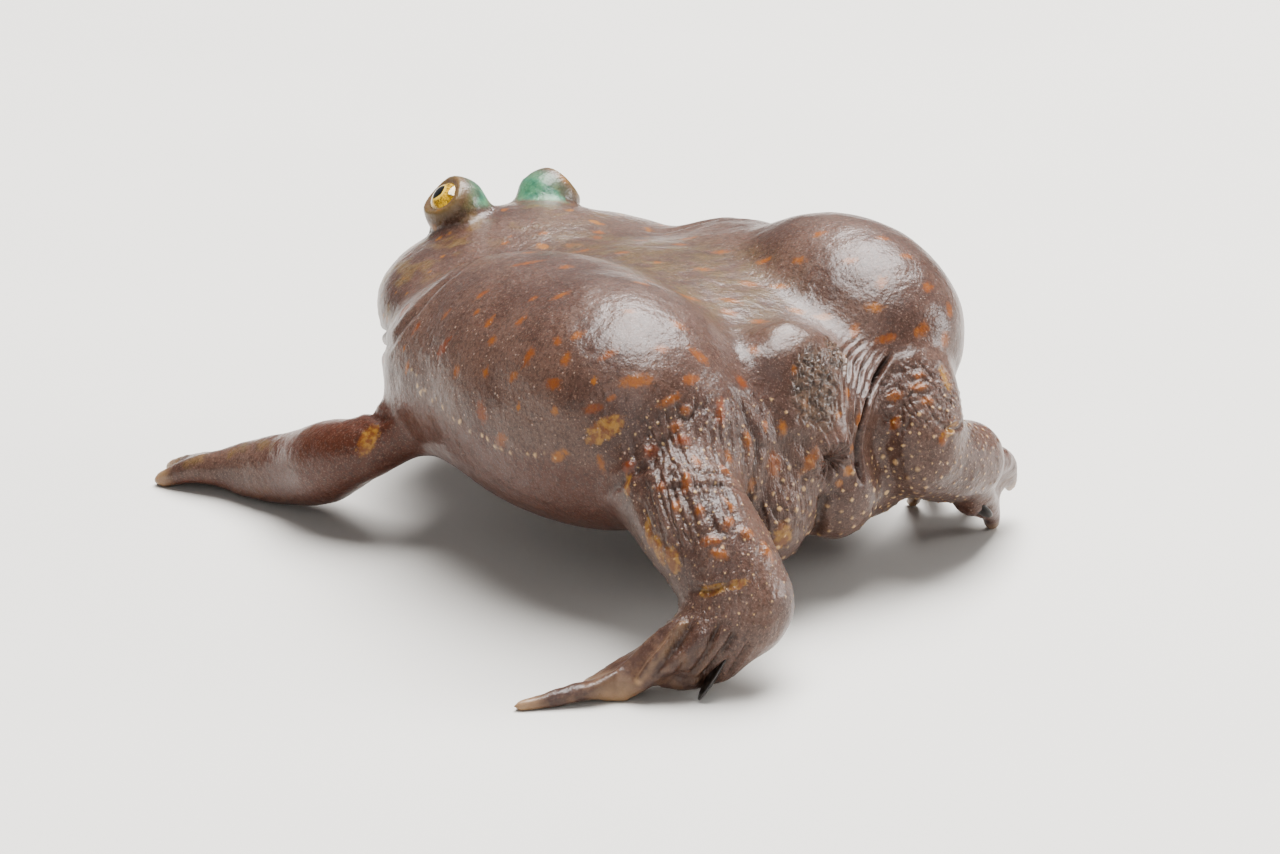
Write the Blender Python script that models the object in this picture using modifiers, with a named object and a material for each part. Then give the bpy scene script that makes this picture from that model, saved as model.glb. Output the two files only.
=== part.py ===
"""Budgett's frog, life size, puffed up and standing with its right hind foot on the tips of its toes.

The design frame is in millimetres: +X is the frog's left, +Y its rear and +Z up, with the floor at z = 0
under the middle of the trunk. The body is modelled whole from rounded masses, which are fused and smoothed,
and is then parted with thin cuts into head, trunk, arms, hands, shanks and feet. At the end everything is
moved so that the origin is under the middle of the model's bounding box.
"""

import math

import bmesh
import bpy
from mathutils import Matrix, Vector
from mathutils.bvhtree import BVHTree

MM = 0.001

# Driving sizes of the animal
EYE_RADIUS = 3.5
EYE_CENTRES = {1: (7.1, -40.5, 36.0), -1: (-7.6, -40.4, 34.7)}
EYE_AIMS = {1: (0.674, -0.159, 0.722), -1: (-0.802, -0.14, 0.581)}
LID_INSIDE = 3.75
LID_OUTSIDE = 4.4
LID_OPENING = (3.25, 2.85)
MOUTH_GROOVE = 0.4
FLOOR_FLAT = 0.4

# Sizes of the surface and of the cuts
ROUGH_VOXEL = 1.1
ROUGH_ROUNDS = 22
FINE_VOXEL = 0.4
FINE_ROUNDS = 6
CUT_GAP = 0.3
WHOLE_TRIANGLES = 60000

TRIANGLES = {
    "head": 2600,
    "trunk": 2900,
    "left_arm": 460,
    "right_arm": 460,
    "left_hand": 850,
    "right_hand": 850,
    "left_shank": 480,
    "left_foot": 1600,
    "right_leg": 2300,
}

COLOURS = {
    "skin": (0.30, 0.22, 0.19),
    "eye": (0.55, 0.42, 0.12),
    "spade": (0.02, 0.018, 0.016),
}


def clear_scene():
    for obj in list(bpy.data.objects):
        bpy.data.objects.remove(obj)


def blob(centre, radii, turn=(0.0, 0.0, 0.0), segments=40):
    """A rounded mass: an ellipsoid with its radii in mm, turned by degrees about X, Y and Z."""
    bpy.ops.mesh.primitive_uv_sphere_add(
        segments=segments,
        ring_count=segments // 2,
        radius=MM,
        location=Vector(centre) * MM,
        rotation=[math.radians(angle) for angle in turn],
        scale=radii,
    )
    bpy.ops.object.transform_apply(location=True, rotation=True, scale=True)
    return bpy.context.object


def as_mesh(obj):
    """The object as the viewport shows it, made a mesh with its caps welded."""
    graph = bpy.context.evaluated_depsgraph_get()
    mesh = bpy.data.meshes.new_from_object(obj.evaluated_get(graph))
    welded = bmesh.new()
    welded.from_mesh(mesh)
    bmesh.ops.remove_doubles(welded, verts=welded.verts, dist=0.00002)
    welded.to_mesh(mesh)
    welded.free()
    made = bpy.data.objects.new(obj.name, mesh)
    made.matrix_world = obj.matrix_world
    bpy.context.scene.collection.objects.link(made)
    bpy.data.objects.remove(obj)
    return made


def tube(stations, sides=3, steps=6):
    """A round tube through (x, y, z, radius) stations in mm, with flat ends."""
    curve = bpy.data.curves.new("tube", "CURVE")
    curve.dimensions = "3D"
    curve.bevel_depth = MM
    curve.bevel_resolution = sides
    curve.resolution_u = steps
    curve.use_fill_caps = True
    spline = curve.splines.new("BEZIER")
    spline.bezier_points.add(len(stations) - 1)
    for point, (x, y, z, radius) in zip(spline.bezier_points, stations):
        point.co = Vector((x, y, z)) * MM
        point.radius = radius
        point.handle_left_type = "AUTO"
        point.handle_right_type = "AUTO"
    made = bpy.data.objects.new("tube", curve)
    bpy.context.scene.collection.objects.link(made)
    return as_mesh(made)


def limb(stations):
    """A tube with a ball at each end, for a limb or a digit."""
    balls = [blob(s[:3], (s[3], s[3], s[3]), segments=24) for s in (stations[0], stations[-1])]
    return [tube(stations), *balls]


def web(line_a, line_b, thickness):
    """The skin between two digits: a strip from one line of points to the other, given a thickness."""
    mesh = bpy.data.meshes.new("web")
    made = bpy.data.objects.new("web", mesh)
    bpy.context.scene.collection.objects.link(made)
    strip = bmesh.new()
    rows = [[strip.verts.new(Vector(p) * MM) for p in line] for line in (line_a, line_b)]
    for near in range(len(line_a) - 1):
        strip.faces.new((rows[0][near], rows[0][near + 1], rows[1][near + 1], rows[1][near]))
    strip.to_mesh(mesh)
    strip.free()
    apply_modifier(made, "SUBSURF", levels=2, render_levels=2)
    apply_modifier(made, "SOLIDIFY", thickness=thickness * MM, offset=0.0)
    return made


def join(name, pieces):
    bpy.ops.object.select_all(action="DESELECT")
    for piece in pieces:
        piece.select_set(True)
    bpy.context.view_layer.objects.active = pieces[0]
    bpy.ops.object.join()
    made = bpy.context.object
    made.name = name
    return made


def apply_modifier(obj, kind, **settings):
    modifier = obj.modifiers.new(kind.lower(), kind)
    for key, value in settings.items():
        setattr(modifier, key, value)
    bpy.ops.object.select_all(action="DESELECT")
    obj.select_set(True)
    bpy.context.view_layer.objects.active = obj
    bpy.ops.object.modifier_apply(modifier=modifier.name)


def fuse(name, pieces, voxel, rounds):
    """Overlapping masses made one skin, with the creases between them smoothed."""
    made = join(name, pieces)
    apply_modifier(made, "REMESH", mode="VOXEL", voxel_size=voxel * MM)
    apply_modifier(made, "SMOOTH", factor=0.5, iterations=rounds)
    return made


def thin_out(obj, triangles):
    """Fewer faces where the surface is plain. A voxel surface is all quads, two triangles each."""
    count = sum(len(face.vertices) - 2 for face in obj.data.polygons)
    if count > triangles:
        apply_modifier(obj, "DECIMATE", ratio=triangles / count, use_collapse_triangulate=True)


def copy_of(obj, name):
    made = bpy.data.objects.new(name, obj.data.copy())
    bpy.context.scene.collection.objects.link(made)
    return made


def combine(obj, cutter, operation, keep_cutter=False):
    apply_modifier(obj, "BOOLEAN", operation=operation, object=cutter, solver="EXACT")
    if not keep_cutter:
        bpy.data.objects.remove(cutter)


def shells_of(mesh):
    """The separate closed surfaces of a bmesh, each as a set of its vertices."""
    unseen = set(mesh.verts)
    shells = []
    while unseen:
        shell = {unseen.pop()}
        edge = list(shell)
        while edge:
            vert = edge.pop()
            for link in vert.link_edges:
                other = link.other_vert(vert)
                if other in unseen:
                    unseen.discard(other)
                    shell.add(other)
                    edge.append(other)
        shells.append(shell)
    return shells


def keep_shell(obj, seed=None):
    """Keeps one closed surface: the one that comes closest to `seed`, or else the one with most faces."""
    mesh = bmesh.new()
    mesh.from_mesh(obj.data)
    shells = sorted(shells_of(mesh), key=len, reverse=True)
    keep = shells[0]
    if seed is not None:
        target = Vector(seed) * MM
        keep = min(shells, key=lambda shell: min((vert.co - target).length for vert in shell))
    for shell in shells:
        if shell is not keep:
            bmesh.ops.delete(mesh, geom=list(shell), context="VERTS")
    mesh.to_mesh(obj.data)
    mesh.free()


def trunk_masses():
    """The blown-up trunk: a flat core, a balloon of skin on each flank, the rump, and the skin that
    wraps each thigh as far as the knee."""
    masses = [
        blob((0, -2, 23.5), (30, 34, 13.8)),
        blob((0, -4, 21), (28, 31, 13.5)),
        blob((0, 22, 21), (13, 10, 13)),
        blob((0, 23.5, 28.5), (8, 6.3, 8)),
        blob((0, 27.5, 22.5), (4.5, 4.5, 4.5)),
        blob((6.3, 27.5, 13.9), (6.3, 6.3, 7.4)),
        blob((-5.0, 27.0, 14.3), (5.6, 6.0, 7.0)),
        blob((-12.0, 24.0, 14.0), (7.5, 6.0, 6.2)),
        blob((16.4, 1.5, 24.5), (17.8, 31, 16.2)),
        blob((17.6, 10.5, 28.3), (15, 19.5, 13.1)),
        blob((-16.4, 0, 24.2), (17.8, 29.5, 13.8)),
        blob((-20.2, 8.5, 28.8), (13.7, 19.5, 13.3)),
    ]
    for side in (1, -1):
        masses.append(blob((side * 18.5, -10, 23.5), (15, 20.5, 13.3)))
    masses += limb([(8, 23, 23, 7.5), (15, 25.5, 21.5, 8), (21, 27, 20.5, 7)])
    masses += limb([(-8, 21.5, 23, 7.5), (-15, 21, 23.5, 7.5), (-19.5, 19.5, 24, 6.5)])
    return masses


def head_masses():
    """The broad flat head, nearly as wide as the trunk, its raised crown, the snout and the throat."""
    return [
        blob((0, -27, 25.5), (24.6, 24, 10.5)),
        blob((0, -35, 25), (19.5, 18, 9)),
        blob((0, -31, 30.0), (14, 16, 6.9)),
        blob((0, -28, 19), (19.5, 20, 9)),
    ]


def left_leg_masses():
    """The shank and the heel. Both feet stand on their inner edges with the soles facing back."""
    left = limb([(20.5, 28, 20.5, 7.4), (21.5, 34, 18.3, 7.5), (21.1, 39.5, 14.4, 7.1), (20.4, 43.4, 10.6, 6.2)])
    left += limb([(20.8, 43.8, 9.6, 5.8), (24.5, 43.6, 8.2, 4.8), (27.5, 42.8, 6.8, 3.9)])
    left += [blob((26.3, 43.4, 6.0), (5.2, 3.0, 5.2), (0, 0, -20))]
    left += limb([(24.5, 44.6, 3.8, 2.6), (28.8, 43.0, 1.9, 1.7), (32.2, 41.7, 1.5, 1.2)])
    return left


def right_leg_masses():
    """The right leg is tucked under the flank, with only its shank and heel standing out behind."""
    right = limb([(-18, 24, 25, 7.0), (-16.8, 27.6, 21, 6.9), (-16.8, 28.4, 17.4, 6.4)])
    right += limb([(-17.8, 28.3, 16.4, 5.7), (-22, 27.5, 14.6, 5.8), (-27, 26, 13.0, 5.5)])
    return right


ARM = [
    (22, -15, 18.5, 6.0),
    (28.5, -17.5, 16.2, 4.0),
    (33.6, -21.5, 13.2, 4.6),
    (35.0, -28, 9.8, 5.8),
    (34.8, -34, 7.0, 5.7),
    (36.4, -40, 5.2, 5.0),
    (38.6, -45, 4.1, 4.0),
]


def mirrored(stations, side):
    return [(side * x, y, z, radius) for x, y, z, radius in stations]


def rough_body():
    pieces = trunk_masses() + head_masses() + left_leg_masses()
    for side in (1, -1):
        pieces += limb(mirrored(ARM, side))
    return fuse("body", pieces, ROUGH_VOXEL, ROUGH_ROUNDS)


LEFT_TOES = {
    "first": [(27.5, 43.9, 6.5, 2.4), (31.2, 43.2, 5.8, 1.4), (34.4, 41.6, 2.6, 1.0)],
    "second": [(27, 43.6, 7.0, 2.8), (31.5, 41.6, 4.6, 1.5), (35.9, 39.6, 1.0, 1.0)],
    "third": [(27, 43.2, 7.6, 2.7), (32, 41, 4.5, 1.4), (37.3, 38.6, 1.1, 1.0)],
    "fourth": [
        (26.3, 43, 8.8, 2.9),
        (30.8, 41.3, 6.6, 2.0),
        (35.2, 39.5, 3.2, 1.4),
        (41.5, 37.3, 1.8, 1.2),
        (47.2, 35.1, 0.95, 0.85),
    ],
    "fifth": [(26.3, 41.5, 8.4, 2.7), (31, 38.6, 5.0, 1.5), (38.6, 35.2, 1.0, 0.95)],
}

RIGHT_TOES = {
    "first": [(-28.5, 26, 8.2, 3.0), (-33.2, 24, 4.2, 1.5), (-35.7, 21.5, 0.9, 1.05)],
    "second": [(-29, 25.5, 12, 3.4), (-35.2, 23.8, 10.4, 1.7), (-39.4, 20.6, 5.2, 1.0)],
    "third": [(-28, 24, 10.5, 3.4), (-34.5, 18.5, 7.2, 1.7), (-38.3, 13.5, 1.0, 1.05)],
    "fourth": [(-27, 22.5, 11.5, 3.4), (-33, 15.5, 8.5, 1.8), (-36, 9.5, 4, 1.4), (-37.3, 4.0, 0.9, 0.95)],
    "fifth": [(-25.5, 22.5, 12.5, 3.0), (-29.5, 16, 8.5, 1.6), (-32, 9.5, 1.0, 1.0)],
}

FINGERS = {
    "first": [(35, -41, 4.2, 3.0), (33, -47.5, 2.8, 1.7), (31.2, -52.6, 1.0, 1.1)],
    "second": [(37, -43, 3.8, 3.0), (37.2, -51.5, 2.8, 1.8), (37, -58.2, 1.0, 1.1)],
    "third": [(38.6, -45, 4.0, 3.0), (40.8, -52, 3.0, 1.9), (42.0, -58.4, 1.0, 1.1)],
    "fourth": [(39.6, -46, 4.2, 2.9), (43.2, -50.6, 3.2, 1.9), (45.8, -54.6, 1.15, 1.15)],
}


def toe_webs(toes, thickness=0.9):
    """Skin from toe to toe, out to the last station of the shorter one."""
    names = list(toes)
    pieces = []
    for near, far in zip(names, names[1:]):
        lines = [[s[:3] for s in toes[name][:3]] for name in (near, far)]
        tips = [Vector(line[-1]) for line in lines]
        bases = [Vector(line[1]) for line in lines]
        for line, tip, base in zip(lines, tips, bases):
            line[-1] = base.lerp(tip, 0.6)
        pieces.append(web(*lines, thickness))
    return pieces


def toes_of(toes):
    pieces = []
    for stations in toes.values():
        pieces += limb(stations)
    return pieces + toe_webs(toes)


def fingers():
    pieces = []
    for side in (1, -1):
        for stations in FINGERS.values():
            pieces += limb(mirrored(stations, side))
    return pieces


def eye_centre(side):
    """The frog holds its head a little to one side, so its left eye is the higher one."""
    return EYE_CENTRES[side]


def lids():
    """The domes of skin over the eyes, which are hollowed and opened after the body is fused."""
    size = LID_OUTSIDE
    return [blob(eye_centre(side), (size, size, size)) for side in (1, -1)]


def mouth_points(body):
    """Points on the face along the closed mouth, from one corner round the snout to the other."""
    tree = BVHTree.FromObject(body, bpy.context.evaluated_depsgraph_get())
    points = []
    for degrees in range(-90, 91, 5):
        angle = math.radians(degrees)
        height = 21.8 - 1.2 * math.sin(2 * abs(angle)) + 4.5 * (abs(degrees) / 90) ** 3
        start = Vector((0, -26, height)) * MM
        hit = tree.ray_cast(start, Vector((math.sin(angle), -math.cos(angle), 0)))[0]
        points.append(hit / MM)
    return points


def lips(points):
    """A low roll of skin above and below the mouth, which fades towards the corners."""
    rolls = []
    for rise in (1.1, -1.1):
        stations = []
        for index, p in enumerate(points):
            near_end = min(index, len(points) - 1 - index) / 5
            stations.append((p.x * 0.98, p.y + 0.4, p.z + rise, 0.5 + 0.6 * min(near_end, 1.0)))
        rolls.append(tube(stations))
    return rolls


def whole_frog():
    """All of the frog but its right lower leg, and the points of its mouth."""
    body = rough_body()
    mouth = mouth_points(body)
    pieces = [body, *toes_of(LEFT_TOES), *fingers(), *lids(), *lips(mouth)]
    whole = fuse("whole", pieces, FINE_VOXEL, FINE_ROUNDS)
    thin_out(whole, WHOLE_TRIANGLES)
    return whole, mouth


def right_leg():
    rough = fuse("right_leg", right_leg_masses(), ROUGH_VOXEL, 8)
    leg = fuse("right_leg", [rough, *toes_of(RIGHT_TOES)], FINE_VOXEL, FINE_ROUNDS)
    thin_out(leg, TRIANGLES["right_leg"])
    return leg


def turned_tube(centre, aim, radii, length):
    """An oval rod which starts at `centre` and points along `aim`."""
    bpy.ops.mesh.primitive_cylinder_add(
        vertices=24, radius=MM, depth=length * MM, scale=(radii[0], radii[1], 1)
    )
    made = bpy.context.object
    way = Vector(aim).normalized()
    made.rotation_mode = "QUATERNION"
    made.rotation_quaternion = way.to_track_quat("Z", "Y")
    made.location = (Vector(centre) + way * length / 2) * MM
    bpy.ops.object.transform_apply(location=True, rotation=True, scale=True)
    return made


def cut_vent(trunk):
    """The vent, a small pit in the middle of the rump."""
    tree = BVHTree.FromObject(trunk, bpy.context.evaluated_depsgraph_get())
    hit = tree.ray_cast(Vector((-1, 60, 19.5)) * MM, Vector((0, -1, 0)))[0] / MM
    combine(trunk, blob(hit, (1.3, 1.1, 0.9), segments=20), "DIFFERENCE")


def open_lids(head):
    """Hollows the domes for the eyeballs and opens them towards the side and the front."""
    for side in (1, -1):
        combine(head, blob(eye_centre(side), (LID_INSIDE,) * 3, segments=24), "DIFFERENCE")
        combine(head, turned_tube(eye_centre(side), EYE_AIMS[side], LID_OPENING, 9), "DIFFERENCE")


def cut_mouth(head, points):
    """The closed line of the mouth, between the lips."""
    outside = [p + Vector((p.x, p.y + 26, 0)).normalized() * 0.45 for p in points]
    combine(head, tube([(*p, MOUTH_GROOVE) for p in outside[::2]], sides=1, steps=2), "DIFFERENCE")


def cut_nostrils(head):
    """Two small nostrils, close together on top of the snout."""
    tree = BVHTree.FromObject(head, bpy.context.evaluated_depsgraph_get())
    for side in (1, -1):
        hit = tree.ray_cast(Vector((side * 3.0, -47.2, 60)) * MM, Vector((0, 0, -1)))[0] / MM
        combine(head, blob(hit, (0.55, 0.8, 0.9), (0, 0, side * 30), segments=16), "DIFFERENCE")


def make_eyes():
    eyes = {}
    for side, name in ((1, "left_eye"), (-1, "right_eye")):
        eyes[name] = blob(eye_centre(side), (EYE_RADIUS,) * 3, segments=20)
    return eyes


# The digging spades: centre, radii, and the ways along the blade and out of the sole
SPADES = {
    "left_spade": ((26.3, 45.3, 3.75), (0.6, 1.8, 3.9), (0.59, -0.06, -0.80), (0.54, 0.77, 0.34)),
    "right_spade": ((-29.0, 27.1, 6.4), (0.6, 1.7, 2.2), (-0.62, -0.35, -0.70), (0.2, 0.9, 0.2)),
}


def spade(name, grow=0.0):
    """A curved horny blade on the inner edge of the sole."""
    centre, radii, along, out = SPADES[name]
    along = Vector(along).normalized()
    out = (Vector(out) - along * along.dot(Vector(out))).normalized()
    thin = out.cross(along)
    made = blob((0, 0, 0), [radius + grow for radius in radii], segments=16)
    turn = Matrix((thin, out, along)).transposed().to_4x4()
    made.data.transform(Matrix.Translation(Vector(centre) * MM) @ turn)
    made.name = name
    return made


def add_spades(nodes):
    for side in ("left", "right"):
        name = side + "_spade"
        combine(nodes[side + "_foot"], spade(name, grow=CUT_GAP), "DIFFERENCE")
        keep_shell(nodes[side + "_foot"])
        nodes[name] = spade(name)


def colour(obj, name):
    """The object's own material, smooth shaded."""
    material = bpy.data.materials.new(name)
    material.use_nodes = True
    shader = material.node_tree.nodes["Principled BSDF"]
    shader.inputs["Base Color"].default_value = (*COLOURS[name], 1)
    shader.inputs["Roughness"].default_value = 0.35
    material.diffuse_color = (*COLOURS[name], 1)
    obj.data.materials.clear()
    obj.data.materials.append(material)
    for face in obj.data.polygons:
        face.material_index = 0
        face.use_smooth = True


def centre_on_floor(nodes):
    """Moves all the nodes so that the origin is under the middle of their bounding box."""
    points = [v.co for node in nodes.values() for v in node.data.vertices]
    low = [min(p[axis] for p in points) for axis in range(3)]
    high = [max(p[axis] for p in points) for axis in range(3)]
    shift = Vector((-(low[0] + high[0]) / 2, -(low[1] + high[1]) / 2, -low[2]))
    for node in nodes.values():
        node.data.transform(Matrix.Translation(shift))
    return shift


def flatten_on_floor(nodes):
    """Small flats at one level under all that touches the floor."""
    for name, node in nodes.items():
        lowest = min(vert.co.z for vert in node.data.vertices)
        if lowest < FLOOR_FLAT * MM:
            bpy.ops.mesh.primitive_cube_add(size=MM, location=(0, 0, (FLOOR_FLAT - 10) * MM), scale=(200, 200, 20))
            bpy.ops.object.transform_apply(location=True, rotation=True, scale=True)
            combine(node, bpy.context.object, "DIFFERENCE")
            keep_shell(node)


def cut_slab(start, direction, width, height):
    """A thin slab across a limb at `start`, square to `direction`."""
    way = Vector(direction).normalized()
    bpy.ops.mesh.primitive_cube_add(size=MM, scale=(width, height, CUT_GAP))
    made = bpy.context.object
    made.rotation_mode = "QUATERNION"
    made.rotation_quaternion = way.to_track_quat("Z", "Y")
    made.location = Vector(start) * MM
    bpy.ops.object.transform_apply(location=True, rotation=True, scale=True)
    return made


def head_shell():
    """The curved cut behind the jaws, where the skin of the flanks begins: a thin shell."""
    centre, radii = (0, -46, 26), (38, 31, 32)
    shell = blob(centre, [radius + CUT_GAP for radius in radii], segments=64)
    combine(shell, blob(centre, radii, segments=64), "DIFFERENCE")
    return shell


# Where each limb is parted: the middle of the cut, the way outwards, and the slab's width and height
LIMB_CUTS = {
    "left_arm": ((31.8, -20.2, 14.3), (0.72, -0.56, -0.42), 13, 13),
    "right_arm": ((-31.8, -20.2, 14.3), (-0.72, -0.56, -0.42), 13, 13),
    "left_hand": ((35.6, -37.5, 6.0), (0.2, -0.93, -0.3), 18, 18),
    "right_hand": ((-35.6, -37.5, 6.0), (-0.2, -0.93, -0.3), 18, 18),
    "left_shank": ((21.2, 33.0, 18), (0.0, 0.86, -0.5), 17.6, 19),
    "left_foot": ((21.0, 44, 9.8), (0.62, 0.1, -0.78), 22, 22),
}

# A point on or in each piece, by which it is known after the cuts
SEEDS = {
    "head": (0, -52, 25),
    "trunk": (0, 0, 38),
    "left_arm": (35, -29, 15),
    "right_arm": (-35, -29, 15),
    "left_hand": (42, -52, 3),
    "right_hand": (-42, -52, 3),
    "left_shank": (21.5, 39, 23),
    "left_foot": (44, 36, 2),
}


def part_body(whole):
    """Parts the head and the limbs from the trunk with thin cuts."""
    for start, direction, width, height in LIMB_CUTS.values():
        combine(whole, cut_slab(start, direction, width, height), "DIFFERENCE")
    combine(whole, head_shell(), "DIFFERENCE")
    nodes = {}
    for name, seed in SEEDS.items():
        nodes[name] = copy_of(whole, name)
        keep_shell(nodes[name], seed)
        thin_out(nodes[name], TRIANGLES[name])
    bpy.data.objects.remove(whole)
    return nodes


def add_right_leg(nodes):
    """Fits the right leg against the trunk's skin, a thin gap away, and parts its foot at the ankle."""
    leg = right_leg()
    skin = copy_of(nodes["trunk"], "skin")
    apply_modifier(skin, "DISPLACE", strength=(CUT_GAP + 0.05) * MM, mid_level=0.0)
    combine(leg, skin, "DIFFERENCE")
    keep_shell(leg, (-35, 22, 1))
    combine(leg, cut_slab((-20.5, 27, 13.4), (-0.9, -0.1, -0.42), 26, 26), "DIFFERENCE")
    for name, seed in (("right_shank", (-17, 34, 16)), ("right_foot", (-35, 22, 1))):
        nodes[name] = copy_of(leg, name)
        keep_shell(nodes[name], seed)
    bpy.data.objects.remove(leg)


def main():
    clear_scene()
    whole, mouth = whole_frog()
    nodes = part_body(whole)
    cut_vent(nodes["trunk"])
    add_right_leg(nodes)
    open_lids(nodes["head"])
    cut_mouth(nodes["head"], mouth)
    cut_nostrils(nodes["head"])
    keep_shell(nodes["head"])
    add_spades(nodes)
    flatten_on_floor(nodes)
    nodes.update(make_eyes())
    for name, node in nodes.items():
        node.name = name
        node.data.name = name
        colour(node, "eye" if name.endswith("eye") else "spade" if name.endswith("spade") else "skin")
    centre_on_floor(nodes)


main()
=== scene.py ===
"""A Budgett's frog as a life-size still model, puffed up and standing on its hands and hind toes.

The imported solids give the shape. Here one wet hide is laid over the flesh, the eyes and the black
digging spades are set into it, and the frog stands on a plain pale floor under a soft box.
Places are given in millimetres from the floor under the middle of the trunk: +X is the frog's left,
+Y its rear and +Z up.
"""

import math

import bmesh
import bpy
import numpy as np
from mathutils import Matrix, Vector
from mathutils.bvhtree import BVHTree
from mathutils.kdtree import KDTree


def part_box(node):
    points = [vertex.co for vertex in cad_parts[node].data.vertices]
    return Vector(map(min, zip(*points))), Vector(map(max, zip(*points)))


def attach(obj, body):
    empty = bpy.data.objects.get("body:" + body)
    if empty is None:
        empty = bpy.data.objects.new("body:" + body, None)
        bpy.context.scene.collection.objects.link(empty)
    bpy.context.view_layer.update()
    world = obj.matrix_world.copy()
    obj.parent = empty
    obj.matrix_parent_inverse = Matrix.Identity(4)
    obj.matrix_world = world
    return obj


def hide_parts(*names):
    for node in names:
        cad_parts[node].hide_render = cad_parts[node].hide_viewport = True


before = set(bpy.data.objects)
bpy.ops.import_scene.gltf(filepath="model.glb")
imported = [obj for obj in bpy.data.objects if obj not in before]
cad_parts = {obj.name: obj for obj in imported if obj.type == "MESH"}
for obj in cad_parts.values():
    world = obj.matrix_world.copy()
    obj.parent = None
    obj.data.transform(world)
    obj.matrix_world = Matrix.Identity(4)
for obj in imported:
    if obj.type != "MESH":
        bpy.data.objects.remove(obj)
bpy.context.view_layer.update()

# The hide's form
# A frog's skin is one thin wet sheet, loose over the puffed trunk and tight on the toes. It is taken
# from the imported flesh: the pieces are swelled until their thin cuts close, wrapped in one surface,
# shrunk back by as much, and evened out.
MM = 0.001
FLESH = (
    "trunk", "head", "left_arm", "right_arm", "left_hand", "right_hand",
    "left_shank", "right_shank", "left_foot", "right_foot",
)
# In mm: the swelling, the balls that fill the sockets, the grid of the wrapping, and the left eye
SWELL = 0.3
SOCKET_RADIUS = 3.7
HIDE_GRID = 0.68
LEFT_EYE_PLACE = (7.1, -40.5, 36)

eye_low, eye_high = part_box("left_eye")
ZERO = (eye_low + eye_high) / 2 - Vector(LEFT_EYE_PLACE) * MM


def middle_of(node):
    """The middle of a node in mm from ZERO."""
    low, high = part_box(node)
    return np.array((low + high) / 2 - ZERO) / MM


EYE_PLACES = {name: middle_of(name) for name in ("left_eye", "right_eye")}


def select_only(obj):
    bpy.ops.object.select_all(action="DESELECT")
    obj.select_set(True)
    bpy.context.view_layer.objects.active = obj


def shape_with(obj, kind, **settings):
    """Adds a modifier to the piece and applies it."""
    modifier = obj.modifiers.new(kind.lower(), kind)
    for key, value in settings.items():
        setattr(modifier, key, value)
    select_only(obj)
    bpy.ops.object.modifier_apply(modifier=modifier.name)


def ball(name, centre, radii, segments=32):
    """A round body at its place in mm, with that place in its mesh."""
    bpy.ops.object.select_all(action="DESELECT")
    bpy.ops.mesh.primitive_uv_sphere_add(
        segments=segments,
        ring_count=segments // 2,
        radius=MM,
        location=ZERO + Vector(centre) * MM,
        scale=radii,
    )
    bpy.ops.object.transform_apply(location=True, rotation=True, scale=True)
    bpy.context.object.name = name
    return bpy.context.object


pieces = []
for name in FLESH:
    piece = bpy.data.objects.new("hide_" + name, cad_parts[name].data.copy())
    bpy.context.scene.collection.objects.link(piece)
    select_only(piece)
    bpy.ops.object.mode_set(mode="EDIT")
    bpy.ops.mesh.select_all(action="SELECT")
    bpy.ops.mesh.remove_doubles(threshold=0.005 * MM)
    bpy.ops.object.mode_set(mode="OBJECT")
    shape_with(piece, "DISPLACE", strength=SWELL * MM, mid_level=0.0)
    pieces.append(piece)
for eye_place in EYE_PLACES.values():
    pieces.append(ball("socket", eye_place, (SOCKET_RADIUS,) * 3))

bpy.ops.object.select_all(action="DESELECT")
for piece in pieces:
    piece.select_set(True)
bpy.context.view_layer.objects.active = pieces[0]
bpy.ops.object.join()
hide = bpy.context.object
hide.name = "hide"
hide.data.name = "hide"
shape_with(hide, "REMESH", mode="VOXEL", voxel_size=HIDE_GRID * MM)


def keep_largest_shell(obj):
    """Drops any small closed bubble that the wrapping leaves inside a cut."""
    mesh = bmesh.new()
    mesh.from_mesh(obj.data)
    unseen = set(mesh.verts)
    shells = []
    while unseen:
        shell = [unseen.pop()]
        for vert in shell:
            for edge in vert.link_edges:
                other = edge.other_vert(vert)
                if other in unseen:
                    unseen.discard(other)
                    shell.append(other)
        shells.append(shell)
    shells.sort(key=len)
    for shell in shells[:-1]:
        bmesh.ops.delete(mesh, geom=shell, context="VERTS")
    mesh.to_mesh(obj.data)
    mesh.free()


keep_largest_shell(hide)


def rows_of(items, field, width=3, kind=float):
    """A field of a mesh's points, edges or faces, with a row for each of them."""
    flat = np.empty(len(items) * width, dtype=kind)
    items.foreach_get(field, flat)
    return flat.reshape(-1, width)


def places_of(obj):
    """The points' places in mm from ZERO."""
    return (rows_of(obj.data.vertices, "co") - np.array(ZERO)) / MM


def put_places(obj, places):
    obj.data.vertices.foreach_set("co", (places * MM + np.array(ZERO)).ravel())
    obj.data.update()


def normals_of(obj):
    return rows_of(obj.data.vertex_normals, "vector")


# Shares of the way to the middle of a point's neighbours: forth, and then back by a little more
EVENING_STEPS = (0.5, -0.52)


def even_out(obj, rounds):
    """Evens out the facets without shrinking the form."""
    places = places_of(obj)
    one, two = rows_of(obj.data.edges, "vertices", 2, int).T
    many = len(places)
    count = np.bincount(one, minlength=many) + np.bincount(two, minlength=many)
    for _ in range(rounds):
        for share in EVENING_STEPS:
            middle = np.empty_like(places)
            for axis in range(3):
                near = places[:, axis]
                total = np.bincount(one, near[two], many) + np.bincount(two, near[one], many)
                middle[:, axis] = total / count
            places += (middle - places) * share
    put_places(obj, places)


put_places(hide, places_of(hide) - normals_of(hide) * SWELL)
even_out(hide, rounds=50)

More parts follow.
